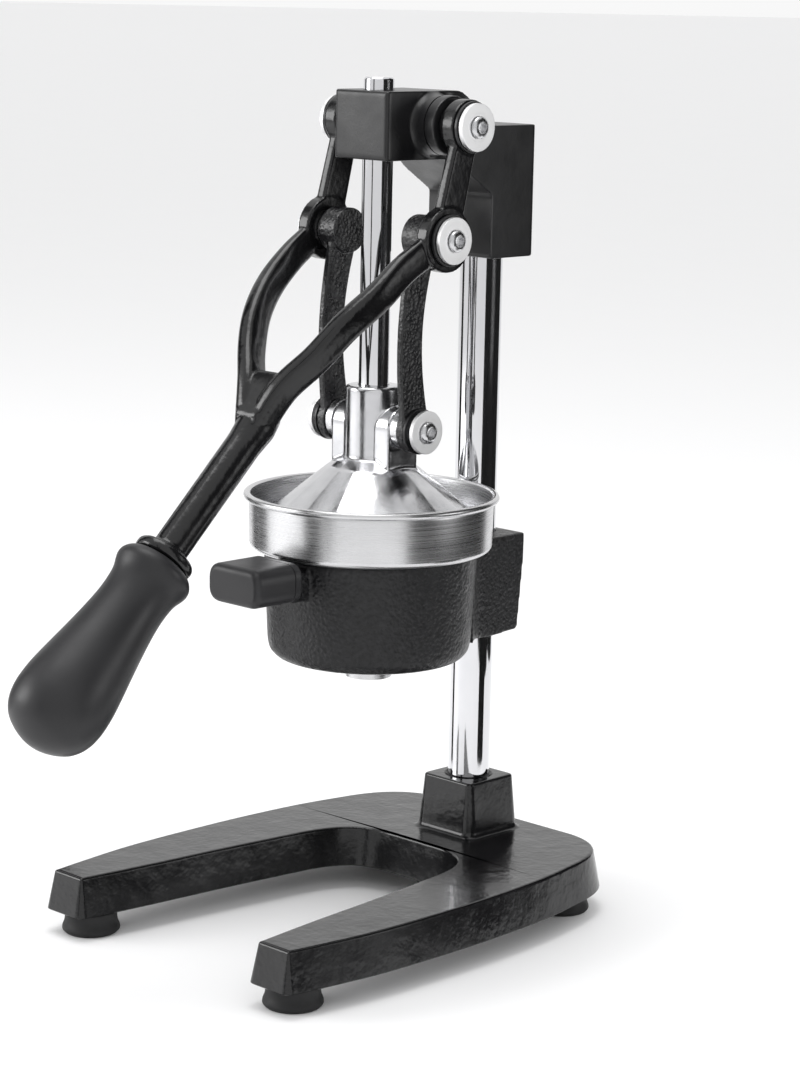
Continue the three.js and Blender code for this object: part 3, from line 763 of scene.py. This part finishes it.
ACROSS = [(0, -40), (0, 40)]        # side views are cut this wide, then to the plan
HEAD_BOTTOM = 371.2
HEAD_TOP = top_of("head_casting")
HEAD_FRONT = -12
HEAD_HALF = 17.6
CLAMP_HALF = 21
CLAMP_FRONT = 57.5
CLAMP_BACK = 88.2
CLAMP_BOTTOM = bottom_of("head_casting")
CLAMP_TOP = 386.7
SET_SCREW_R = 3.9
SCREW_LEVELS = [centre("head_set_screw_lower").z, centre("head_set_screw_upper").z]
BOSS_END = 31.6
EYE_FLOOR = 17.4
BORE_R = 4.3


def side_hole(z):
    hole = rod(SET_SCREW_R + GAP, 5, CLAMP_HALF + 5)
    return solid("set_screw_hole", turned(hole, 32, along_x((COLUMN.y, z), -1)))


def make_head():
    side = [(HEAD_FRONT, HEAD_BOTTOM), (30, HEAD_BOTTOM), (CLAMP_FRONT, 353.6), (CLAMP_FRONT, CLAMP_BOTTOM),
            (CLAMP_BACK, CLAMP_BOTTOM), (CLAMP_BACK, CLAMP_TOP), (CLAMP_FRONT, CLAMP_TOP),
            (35.5, HEAD_TOP), (HEAD_FRONT, HEAD_TOP)]
    plan = [(-HEAD_HALF, HEAD_FRONT), (HEAD_HALF, HEAD_FRONT), (HEAD_HALF, 30), (CLAMP_HALF, 39),
            (CLAMP_HALF, CLAMP_BACK), (-CLAMP_HALF, CLAMP_BACK), (-CLAMP_HALF, 39), (-HEAD_HALF, 30)]
    side_solid = solid("head_side", prism(softened(side, 1.8, 5, closed=True), ACROSS, flat_x))
    plan_solid = solid("head_plan", prism(softened(plan, 2.2, 5, closed=True), [(0, 300), (0, 420)],
                                          flat_z))
    body = carved("head_block", side_solid, [plan_solid], "INTERSECT")
    boss = [(0, HEAD_HALF - 6), (15, HEAD_HALF - 6), (15, HEAD_HALF + 0.6), (14.5, HEAD_HALF + 1.6),
            (14.1, HEAD_HALF + 3.4), (14, BOSS_END - 0.4), (13.6, BOSS_END), (0, BOSS_END)]
    bosses = [solid("head_boss", turned(boss, 96, along_x(TOP, s))) for s in SIDES.values()]
    body = melted("head_cast", [body] + bosses)
    cutters = [solid("eye", turned(rod(BORE_R, EYE_FLOOR, FAR), 48, along_x(TOP, s)))
               for s in SIDES.values()]
    groove = ring_body([(13.5, BOSS_END - 6.4), (16, BOSS_END - 6.4), (16, BOSS_END - 5.6),
                        (13.5, BOSS_END - 5.6)])
    cutters += [solid("boss_groove", turned(groove, 96, along_x(TOP, s))) for s in SIDES.values()]
    cutters.append(solid("ram_bore", turned(rod(RAM_R + GAP, 340, 420), 96)))
    cutters.append(solid("column_bore", turned(rod(COLUMN_R + GAP, 300, top_of("column") + GAP), 96,
                                               upright(0, COLUMN.y))))
    cutters += [side_hole(z) for z in SCREW_LEVELS]
    body = carved("head_block", body, cutters)
    piece = finish_mesh("head_block", body, SATIN, (0, TOP[0], TOP[1]))
    put_on(piece, "stand", "gloss_paint", "head_casting")


# ------------------------------------------------------------------ cup holder
CUP_BOTTOM = 131.2
CUP_TOP = top_of("cup_holder")
CUP_BACK = 89
GRIP_BACK = -61.8
TONGUE_HALF = 7.5
TONGUE_TIP = -82
TONGUE_Z = (172, 180.5)
CUP_INNER_R = 46.9
HANDLE_SEAM = GRIP_BACK - 4.6


def arc_points(a, b, c, steps=10):
    spots = []
    for k in range(1, steps + 1):
        t = k / steps
        spots.append(tuple((1 - t) ** 2 * p + 2 * t * (1 - t) * q + t * t * r for p, q, r in zip(a, b, c)))
    return spots


def make_holder():
    cup = [(14, CUP_BOTTOM), (40.5, CUP_BOTTOM), (45.2, CUP_BOTTOM + 1.3), (48.4, CUP_BOTTOM + 4.6),
           (49.3, CUP_BOTTOM + 9), (51.5, CUP_TOP - 0.9), (50.7, CUP_TOP), (47.4, CUP_TOP),
           (CUP_INNER_R, CUP_TOP - 26), (39, CUP_BOTTOM + 5), (14, CUP_BOTTOM + 5), (14, CUP_BOTTOM)]
    cup_solid = solid("cup", turned([cup[0]] + softened(cup[:-1], 1.6, 5)[1:] + [cup[-1]], 160))
    half = [(CLAMP_HALF - 1.5, CUP_BACK), (CLAMP_HALF, CUP_BACK - 1.5), (CLAMP_HALF, 60)]
    half += arc_points((CLAMP_HALF, 60), (CLAMP_HALF + 0.5, 50), (33, 39.2)) + [(20, 44)]
    plan = half + [(-x, y) for x, y in reversed(half)]
    side = [(30, 137), (64, 134.5), (84.4, 136), (CUP_BACK, CUP_TOP), (30, CUP_TOP)]
    plan_solid = solid("clamp_plan", prism(plan, [(0, 100), (0, 200)], flat_z))
    side_solid = solid("clamp_side", prism(softened(side, 1.8, 5, closed=True), ACROSS, flat_x))
    clamp = carved("clamp", plan_solid, [side_solid], "INTERSECT")
    inside = turned(rod(CUP_INNER_R, CUP_BOTTOM + 12, 220), 160)
    clamp = carved("clamp", clamp, [solid("cup_space", inside)])
    lug = solid("lug", block(-10, 10, GRIP_BACK + GAP, -48.6, 166.8, 181.8, 1.6))
    tongue = solid("tongue", block(-TONGUE_HALF, TONGUE_HALF, TONGUE_TIP, -55, *TONGUE_Z))
    body = melted("holder", [cup_solid, clamp, lug, tongue])
    cutters = [solid("column_bore", turned(rod(COLUMN_R + GAP, 100, 220), 96, upright(0, COLUMN.y))),
               side_hole(centre("cup_set_screw").z)]
    body = carved("cup_casting", body, cutters)
    piece = finish_mesh("cup_casting", body, HAMMERED, (0, 0, CUP_TOP))
    put_on(piece, "stand", "hammered_paint", "cup_holder")


def make_holder_grip():
    half, low, high = 17.5, bottom_of("holder_grip"), top_of("holder_grip")
    section = softened([(-half, low), (half, low), (half, high), (-half, high)], 7.6, 12, closed=True)
    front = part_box("holder_grip")[0].y / MM - RAM.y
    levels = rounded_low(3.4, front, 7)
    levels += [(0, HANDLE_SEAM - 0.35), (-0.45, HANDLE_SEAM - 0.15), (-0.45, HANDLE_SEAM + 0.15),
               (0, HANDLE_SEAM + 0.35)]
    levels += rounded_high(1.4, GRIP_BACK, 6)
    body = solid("cup_handle", prism(section, levels, lambda u, v, h: (u, h, v)))
    pocket = block(-TONGUE_HALF - GAP, TONGUE_HALF + GAP, TONGUE_TIP - GAP, -50,
                   TONGUE_Z[0] - GAP, TONGUE_Z[1] + GAP)
    body = carved("cup_handle", body, [solid("pocket", pocket)])
    piece = finish_mesh("cup_handle", body, GRIP, (0, GRIP_BACK, (low + high) / 2))
    put_on(piece, "stand", "soft_grip", "holder_grip")


# ------------------------------------------------------------------ bowl and strainer
LIP_R = 1.75
LIP_MIDDLE = 59.9
BOWL_R = 61.69
SPOKES = 144
SLOTTED = (12, 42)      # radii between which the cone is pierced
OUTER_SLOTS = 24        # radius from which there are twice as many slots
SHEET = 0.9


def make_bowl():
    low, rim = bottom_of("juice_bowl"), top_of("juice_bowl")
    profile = [(10.2, low), (11.2, low), (11.2, 137), (14, 140.6), (39, 148.5), (44.6, 154.5),
               (46, CUP_TOP + 0.1), (56.6, CUP_TOP + 0.5), (58.6, CUP_TOP + 2.3), (59, 207.4)]
    outer = [profile[0]] + softened(profile[1:], 1.8, 6)
    turns = [math.radians(-150 + 300 * k / 14) for k in range(15)]
    lip = [(LIP_MIDDLE + LIP_R * math.cos(a), rim - LIP_R + LIP_R * math.sin(a)) for a in turns]
    lip = [spot for spot in lip if spot[0] <= BOWL_R]
    inner = [(58, 207), (57.7, CUP_TOP + 3), (56, CUP_TOP + 1.5), (45, CUP_TOP + 1.1), (43.6, 155.2),
             (38.4, 149.6), (13.2, 141.5), (10.2, 137.4), (10.2, low)]
    profile = outer + lip + softened(inner, 1.4, 5)
    piece = turned_piece("bowl_shell", profile, BOWL_STEEL, None, (0, 0, low), 160)
    put_on(piece, "stand", "brushed_steel", "juice_bowl")


def make_strainer():
    """A pressed cone whose flank is pierced with rows of short slots."""
    peak = top_of("strainer_cone")
    flange = CUP_TOP + 1.9
    spine = smooth_curve([(0.0, peak - 0.5), (8, peak - 1.7), (20, 209.1), (31, 200.1),
                          (43.6, flange + 0.45)], 7)
    spine += [(48, flange + 0.45), (54.5, flange + 0.45)]
    points, faces = turned(spine, SPOKES)
    kept = []
    for face in faces:
        mid = [sum(points[i][a] for i in face) / len(face) for a in range(3)]
        reach = math.hypot(mid[0], mid[1])
        ring = min(range(len(spine)), key=lambda i: abs(spine[i][0] - reach))
        spoke = int((math.atan2(mid[1], mid[0]) % TAU) / TAU * SPOKES)
        every = 6 if reach > OUTER_SLOTS else 12
        pierced = SLOTTED[0] < reach < SLOTTED[1] and ring % 4 != 0 and spoke % every == 0
        if not pierced:
            kept.append(face)
    mesh = to_mesh("strainer_sheet", points, kept)
    piece = finish_mesh("strainer_sheet", mesh, BOWL_STEEL, (0, 0, flange), weighted=False)
    thick = piece.modifiers.new("sheet", "SOLIDIFY")
    thick.thickness = SHEET * MM
    thick.offset = 0
    put_on(piece, "stand", "brushed_steel", "strainer_cone")


# ------------------------------------------------------------------ ram
def make_ram():
    top, low = top_of("ram_rod"), bottom_of("ram_rod")
    profile = softened([(0, low), (RAM_R, low), (RAM_R, top - 0.9), (RAM_R - 0.9, top), (0, top)], 0.4, 4)
    piece = turned_piece("ram_bar", profile, CHROME, None, (0, 0, 0), 128)
    put_on(piece, "ram", "chrome_rod", "ram_rod")


EAR_R = 10
EAR_FACE = 19.4
EAR_BOTTOM = 224
EAR_BORE = (10.6, 40)
FACETS = 16
FACET_START = 15        # radius where the flats fade in
FACET_FADE = 8
FACET_TOP = 228
FACET_DEPTH = 0.55


def make_bell():
    hub_top = top_of("press_bell")
    skirt = bottom_of("press_bell")

    def faceted(r, h, angle):
        if r < FACET_START or h > FACET_TOP:
            return r
        step = TAU / FACETS
        turn = (angle % step) - step / 2
        share = FACET_DEPTH * min(1, (r - FACET_START) / FACET_FADE)
        return r * (1 - share + share * math.cos(step / 2) / math.cos(turn))

    inner = [(0, 223.4), (12, 222.4), (22, 217.6), (42, 201), (51.4, skirt)]
    outer = [(54.1, skirt), (54.75, 191.3), (52.2, 198), (45.8, 205.6), (33, 216.2), (22, 225),
             (13.3, 229.4), (13.3, hub_top - 1.0), (12.3, hub_top), (0, hub_top)]
    profile = softened(inner + outer, 1.2, 5)
    bell = solid("bell", turned(profile, FACETS * 12, wobble=faceted))
    ear = [(LOWER[0] + EAR_R * math.cos(a), LOWER[1] + EAR_R * math.sin(a))
           for a in [math.pi * k / 28 for k in range(29)]]
    ear += [(LOWER[0] - EAR_R, EAR_BOTTOM), (LOWER[0] + EAR_R, EAR_BOTTOM)]
    slab = solid("ears", prism(ear, edge_levels(-EAR_FACE, EAR_FACE, 0.9, 4), flat_x))
    body = melted("bell_cast", [bell, slab])
    cutters = [solid("rod_bore", turned(rod(RAM_R + GAP, bottom_of("ram_rod") - GAP, 300), 96))]
    cutters += [solid("ear_bore", turned(rod(BORE_R, *EAR_BORE), 48, along_x(LOWER, s)))
                for s in SIDES.values()]
    body = carved("bell_cone", body, cutters)
    piece = finish_mesh("bell_cone", body, BELL, (0, 0, skirt))
    put_on(piece, "ram", "polished_aluminium", "press_bell")


# ------------------------------------------------------------------ lever
SHAFT_START = (-84.8, 242.6)
SHAFT_ANGLE = math.radians(44.27)
SHAFT_R = 8.4
TANG_R = 6.5
ELBOW_RING = (36, 42.9)
SPOT_FACE_R = 12.6
LEVER_CUT = 25
TOP_EYE = (35, 42.6)


def on_shaft(x, y, h):
    """Turns heights along the handle axis, which leans down and forward."""
    lean = math.pi / 2 + SHAFT_ANGLE
    return (x, SHAFT_START[0] + y * math.cos(lean) - h * math.sin(lean),
            SHAFT_START[1] + y * math.sin(lean) + h * math.cos(lean))


def hull_outline(a, ra, b, rb, steps=18):
    direction = math.atan2(b[1] - a[1], b[0] - a[0])
    lean = math.acos((ra - rb) / math.hypot(b[0] - a[0], b[1] - a[1]))
    spots = []
    for k in range(steps + 1):
        t = direction + lean + (TAU - 2 * lean) * k / steps
        spots.append((a[0] + ra * math.cos(t), a[1] + ra * math.sin(t)))
    for k in range(steps + 1):
        t = direction - lean + 2 * lean * k / steps
        spots.append((b[0] + rb * math.cos(t), b[1] + rb * math.sin(t)))
    return spots


def sweep(stations, sizes, sides=28):
    """An oval bar along a curve. Sizes are (half across, half deep) at each station."""
    spine = smooth_curve(stations, 10)
    widths = smooth_curve([Vector((*s, 0)) for s in sizes], 10)
    last = len(spine) - 1
    points, rings = [], []
    for i, spot in enumerate(spine):
        here = Vector(spot)
        tangent = (Vector(spine[min(i + 1, last)]) - Vector(spine[max(i - 1, 0)])).normalized()
        across = (Vector((1, 0, 0)) - tangent * tangent.x).normalized()
        deep = tangent.cross(across)
        ring = []
        for k in range(sides):
            a = TAU * k / sides
            squash = 1 / (abs(math.cos(a)) ** 3 + abs(math.sin(a)) ** 3) ** (1 / 3)
            ring.append(len(points))
            points.append(tuple(here + across * widths[i][0] * squash * math.cos(a)
                                + deep * widths[i][1] * squash * math.sin(a)))
        rings.append(ring)
    return points, strips(rings) + [tuple(reversed(rings[0])), tuple(rings[-1])]


def mirrored(parts):
    points, faces = parts
    return [(-x, y, z) for x, y, z in points], [tuple(reversed(face)) for face in faces]


def lever_side():
    eye = [(0, BOSS_END + GAP), (11, BOSS_END + GAP), (11, TOP_EYE[0]), (12.8, TOP_EYE[0]),
           (12.8, TOP_EYE[1]), (0, TOP_EYE[1])]
    disc = rod(15.2, *ELBOW_RING)
    crank = prism(hull_outline(MID, 8.2, TOP, 7), edge_levels(36.4, 42.2, 1.4, 4), flat_x)
    stations = [(39.4, -3, 332.4), (37.7, -18.8, 323.5), (36, -34.4, 311), (29.8, -48.8, 297.9),
                (21.7, -59.5, 283.1), (10.6, -69.6, 268.5), (3.4, -77.6, 251)]
    sizes = [(2.9, 7.4), (4.0, 7.3), (4.8, 7.3), (4.9, 7.4), (4.9, 7.4), (5.0, 7.4), (4.8, 7.2)]
    return [turned(eye, 96, along_x(TOP)), turned(disc, 96, along_x(MID)), crank, sweep(stations, sizes)]


def make_lever():
    parts = lever_side()
    solids = [solid("lever_part", p) for p in parts + [mirrored(p) for p in parts]]
    shaft = [(0, -26), (4.5, -25), (8.2, -20), (9.4, -12), (SHAFT_R, -1), (SHAFT_R, 61.9), (11, 63),
             (13.6, 63.6), (14.4, 65), (14.4, 67.6), (13.6, 69.1), (TANG_R, 69.1), (TANG_R, 140),
             (0, 140)]
    web = [(-68.5, 277.5), (-73.5, 272.5), (-84.5, 256), (-72, 250), (-64, 262)]
    web_solid = prism(softened(web, 3, 5, closed=True), edge_levels(-7.5, 7.5, 1.5, 4), flat_x)
    solids += [solid("shaft", turned(softened(shaft, 1.2, 4), 96, on_shaft)), solid("web", web_solid)]
    body = melted("lever_cast", solids)
    cutters = []
    for s in SIDES.values():
        for spot in (TOP, MID):
            cutters.append(solid("bore", turned(rod(BORE_R, LEVER_CUT, FAR), 48, along_x(spot, s))))
        for low, high in ((LEVER_CUT, ELBOW_RING[0] + 0.05), (ELBOW_RING[1] - 0.05, FAR)):
            cutters.append(solid("spot", turned(rod(SPOT_FACE_R, low, high), 96, along_x(MID, s))))
    body = carved("lever_fork", body, cutters)
    piece = finish_mesh("lever_fork", body, GLOSS, (0, TOP[0], TOP[1]))
    put_on(piece, "lever", "gloss_paint", "lever_casting")


GRIP_SHRINK = 0.988


def make_lever_grip():
    lip = [(TANG_R + GAP, 69.35), (12.8, 69.35), (16.2, 70.6), (18.3, 73.2), (18.75, 75.8),
           (18.1, 78.4), (17, 81.4), (16.3, 85), (16, 91), (16.3, 98), (17.3, 107), (19, 118.6),
           (21, 131), (22.3, 140), (22.75, 147),
           (22.6, 152), (21.7, 157), (19.8, 161.6), (16.4, 165.8), (11, 169.2), (5.4, 171.3), (0, 172)]
    profile = [lip[0]] + [(max(r, 0) * GRIP_SHRINK, h) for r, h in smooth_curve(lip[1:], 5)]
    profile += [(0, 141), (TANG_R + GAP, 141), (TANG_R + GAP, 69.35)]
    piece = turned_piece("handle_grip", profile, GRIP, on_shaft, on_shaft(0, 0, 120), 112)
    put_on(piece, "lever", "soft_grip", "lever_grip")


# ------------------------------------------------------------------ links and pivots
LINK_EYE_R = 10.6
LINK_BOSS_R = 10.9
LINK_BOW = 6
LINK_HALF = 7
LINK_BORE = (20, 31)
RING_EDGE = 0.35
SCREW_HEAD = 2.7
HEX_R = 2.1 / math.cos(math.pi / 6)
HEX_TURN = 0.2


def link_outline():
    steps = 30
    front, back = [], []
    for k in range(steps + 1):
        t = k / steps
        y = LOWER[0] + (MID[0] - LOWER[0]) * t - LINK_BOW * math.sin(math.pi * t)
        z = LOWER[1] + (MID[1] - LOWER[1]) * t
        half = LINK_HALF + 1.8 * (2 * t - 1) ** 2
        front.append((y - half, z))
        back.append((y + half, z))
    return back + front[::-1]


def make_link(hand, side):
    plate = prism(link_outline(), edge_levels(24.6, 28.4, 0.8, 3), flat_x)
    eye = turned(rod(LINK_EYE_R, 24.3, 29), 96, along_x(LOWER))
    boss = turned(rod(LINK_BOSS_R, 22.2, 33.2), 96, along_x(MID))
    parts = [plate, eye, boss]
    if side < 0:
        parts = [mirrored(p) for p in parts]
    body = melted("link", [solid("link_part", p) for p in parts])
    bore = solid("bore", turned(rod(BORE_R, *LINK_BORE), 48, along_x(LOWER, side)))
    body = carved("link_bar_" + hand, body, [bore])
    piece = finish_mesh("link_bar_" + hand, body, CAST, (side * 26, LOWER[0], LOWER[1]))
    put_on(piece, "link_" + hand, "hammered_paint", "link_" + hand)


def make_screw(node, name, spot, side, body):
    low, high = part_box(node)
    ends = sorted((abs(low.x), abs(high.x)))
    shank, tip = ends[0] / MM, ends[1] / MM
    face = tip - SCREW_HEAD
    profile = [(0, shank), (3.4, shank), (4, shank + 0.6), (4, face), (5.25, face), (5.3, face + 0.8),
               (4.9, face + 1.5), (4.2, face + 2.1), (3.5, face + 2.5), (2.9, face + 2.68),
               (0, face + SCREW_HEAD)]
    mesh = solid(name, turned(softened(profile, 0.25, 3), 64, along_x(spot, side)))
    turns = [TAU * k / 6 + HEX_TURN for k in range(6)]
    socket = [(HEX_R * math.cos(a), HEX_R * math.sin(a)) for a in turns]
    cutter = prism(socket, [(0, face + 0.7), (0, face + 4)],
                   lambda u, v, h: (side * h, spot[0] + u, spot[1] + v))
    mesh = carved(name, mesh, [solid("socket", cutter)])
    piece = finish_mesh(name, mesh, ZINC, (side * face, spot[0], spot[1]))
    put_on(piece, body, "zinc_steel", node)


def make_disc(node, name, spot, side, body, material, slot):
    low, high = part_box(node)
    x0, x1 = sorted((abs(low.x) / MM, abs(high.x) / MM))
    outer = (high.z - low.z) / (2 * MM)
    corners = [(BORE_R, x0), (outer, x0), (outer, x1), (BORE_R, x1)]
    profile = ring_body(softened(corners, RING_EDGE, 3, closed=True))
    piece = turned_piece(name, profile, material, along_x(spot, side),
                         (side * x0, spot[0], spot[1]), 128)
    put_on(piece, body, slot, node)


BODY_OF = {node: body for body, nodes in frame["record"]["behaviour"]["bodies"].items()
           for node in nodes}
RINGS = [("black_washer", BLACK, "black_steel"), ("washer", DISC_STEEL, "brushed_steel"),
         ("spacer", ZINC, "zinc_steel"), ("shoulder", ZINC, "zinc_steel")]


def make_hardware(hand, side):
    for place, spot in (("top", TOP), ("elbow", MID), ("lower", LOWER)):
        for part, material, slot in RINGS:
            node = f"{place}_{part}_{hand}"
            if node in BODY_OF:
                make_disc(node, "turned_" + node, spot, side, BODY_OF[node], material, slot)
    for place, spot in (("top_pivot", TOP), ("elbow", MID), ("lower_pivot", LOWER)):
        node = f"{place}_screw_{hand}"
        make_screw(node, "button_" + node, spot, side, BODY_OF[node])


# ------------------------------------------------------------------ studio
FLOOR_REACH = 90.0
WORLD_LEVEL = 0.94
# place and aim in m from the origin, width in m, watts
SOFTBOXES = {"key": ((-1.3, -1.3, 0.75), (0, 0, 0.3), 0.9, 14),
             "disc_light": ((1.1, 0.68, 0.36), (0, 0.06, 0.33), 0.4, 2.9),
             "top": ((-0.2, -0.1, 1.9), (0, 0, 0), 1.1, 13)}
# azimuth from +X towards +Y in degrees; distance, width and top in m
FLAG_FOOT = 0.002
FLAGS = {"flag_right": (24, 0.50, 0.62, 1.0), "flag_rear": (70, 0.62, 0.36, 1.0),
         "flag_left": (192, 0.60, 0.20, 1.0), "flag_front": (-84, 0.85, 0.13, 1.0)}
COLUMN_FLAGS = {"flag_column_right": (16, 0.24, 0.15, 0.26),
                "flag_column_left": (206, 0.24, 0.06, 0.26)}


def make_floor():
    work = bmesh.new()
    bmesh.ops.create_grid(work, x_segments=24, y_segments=48, size=FLOOR_REACH)
    mesh = bpy.data.meshes.new("studio_floor")
    work.to_mesh(mesh)
    work.free()
    floor = bpy.data.objects.new("studio_floor", mesh)
    bpy.context.scene.collection.objects.link(floor)
    mesh.materials.append(floor_paint())


def softbox(name, spot, aim, size, power):
    data = bpy.data.lights.new(name, "AREA")
    data.shape = "RECTANGLE"
    data.size = size
    data.size_y = size
    data.energy = power
    light = bpy.data.objects.new(name, data)
    bpy.context.scene.collection.objects.link(light)
    light.location = spot
    light.rotation_euler = (Vector(aim) - Vector(spot)).to_track_quat("-Z", "Y").to_euler()


def flag(name, azimuth, distance, width, high, start=0.0):
    """A dark panel that only shows in reflections, placed from (0, start)."""
    work = bmesh.new()
    turn = math.radians(azimuth)
    middle = Vector((0, start, 0)) + Vector((math.cos(turn), math.sin(turn), 0)) * distance
    across = Vector((-math.sin(turn), math.cos(turn), 0)) * width / 2
    rows = []
    for height in (FLAG_FOOT, high):
        rows.append([work.verts.new(middle + across * t + Vector((0, 0, height)))
                     for t in (-1, -0.5, 0, 0.5, 1)])
    for n in range(4):
        work.faces.new((rows[0][n], rows[0][n + 1], rows[1][n + 1], rows[1][n]))
    mesh = bpy.data.meshes.new(name)
    work.to_mesh(mesh)
    work.free()
    panel = bpy.data.objects.new(name, mesh)
    bpy.context.scene.collection.objects.link(panel)
    mesh.materials.append(FLAG)
    panel.visible_camera = False
    panel.visible_diffuse = False
    panel.visible_shadow = False


def flag_cloth():
    look = Look("studio_flag", (0.01, 0.01, 0.01), 0.9, specular=0.1)
    look.rough(look.noise(12, 2.0), 0.85, 0.95)
    return look.material


FLAG = flag_cloth()


def make_studio():
    bpy.context.scene.view_settings.view_transform = "Standard"
    world = bpy.data.worlds.new("studio")
    world.use_nodes = True
    background = world.node_tree.nodes["Background"]
    background.inputs["Color"].default_value = (1, 1, 1, 1)
    background.inputs["Strength"].default_value = WORLD_LEVEL
    bpy.context.scene.world = world
    for name, setting in SOFTBOXES.items():
        softbox(name, *setting)
    for name, panel in FLAGS.items():
        flag(name, *panel)
    column_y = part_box("column")[0].y + COLUMN_R * MM
    for name, panel in COLUMN_FLAGS.items():
        flag(name, *panel, column_y)


make_base()
make_feet()
make_column()
make_head()
make_holder()
make_holder_grip()
make_bowl()
make_strainer()
make_ram()
make_bell()
make_lever()
make_lever_grip()
for HAND, SIDE in SIDES.items():
    make_link(HAND, SIDE)
    make_hardware(HAND, SIDE)

# parts that stand as the CAD drew them and only get a material
KEPT = {"foot_screw": ZINC, "column_washer": ZINC, "column_bolt": ZINC, "head_set_screw": BLACK,
        "cup_set_screw": BLACK}
for NODE in BODY_OF:
    for START, METAL in KEPT.items():
        if NODE.startswith(START):
            DATA = frame["nodes"][NODE].data
            DATA.materials.clear()
            DATA.materials.append(METAL)

make_floor()
make_studio()
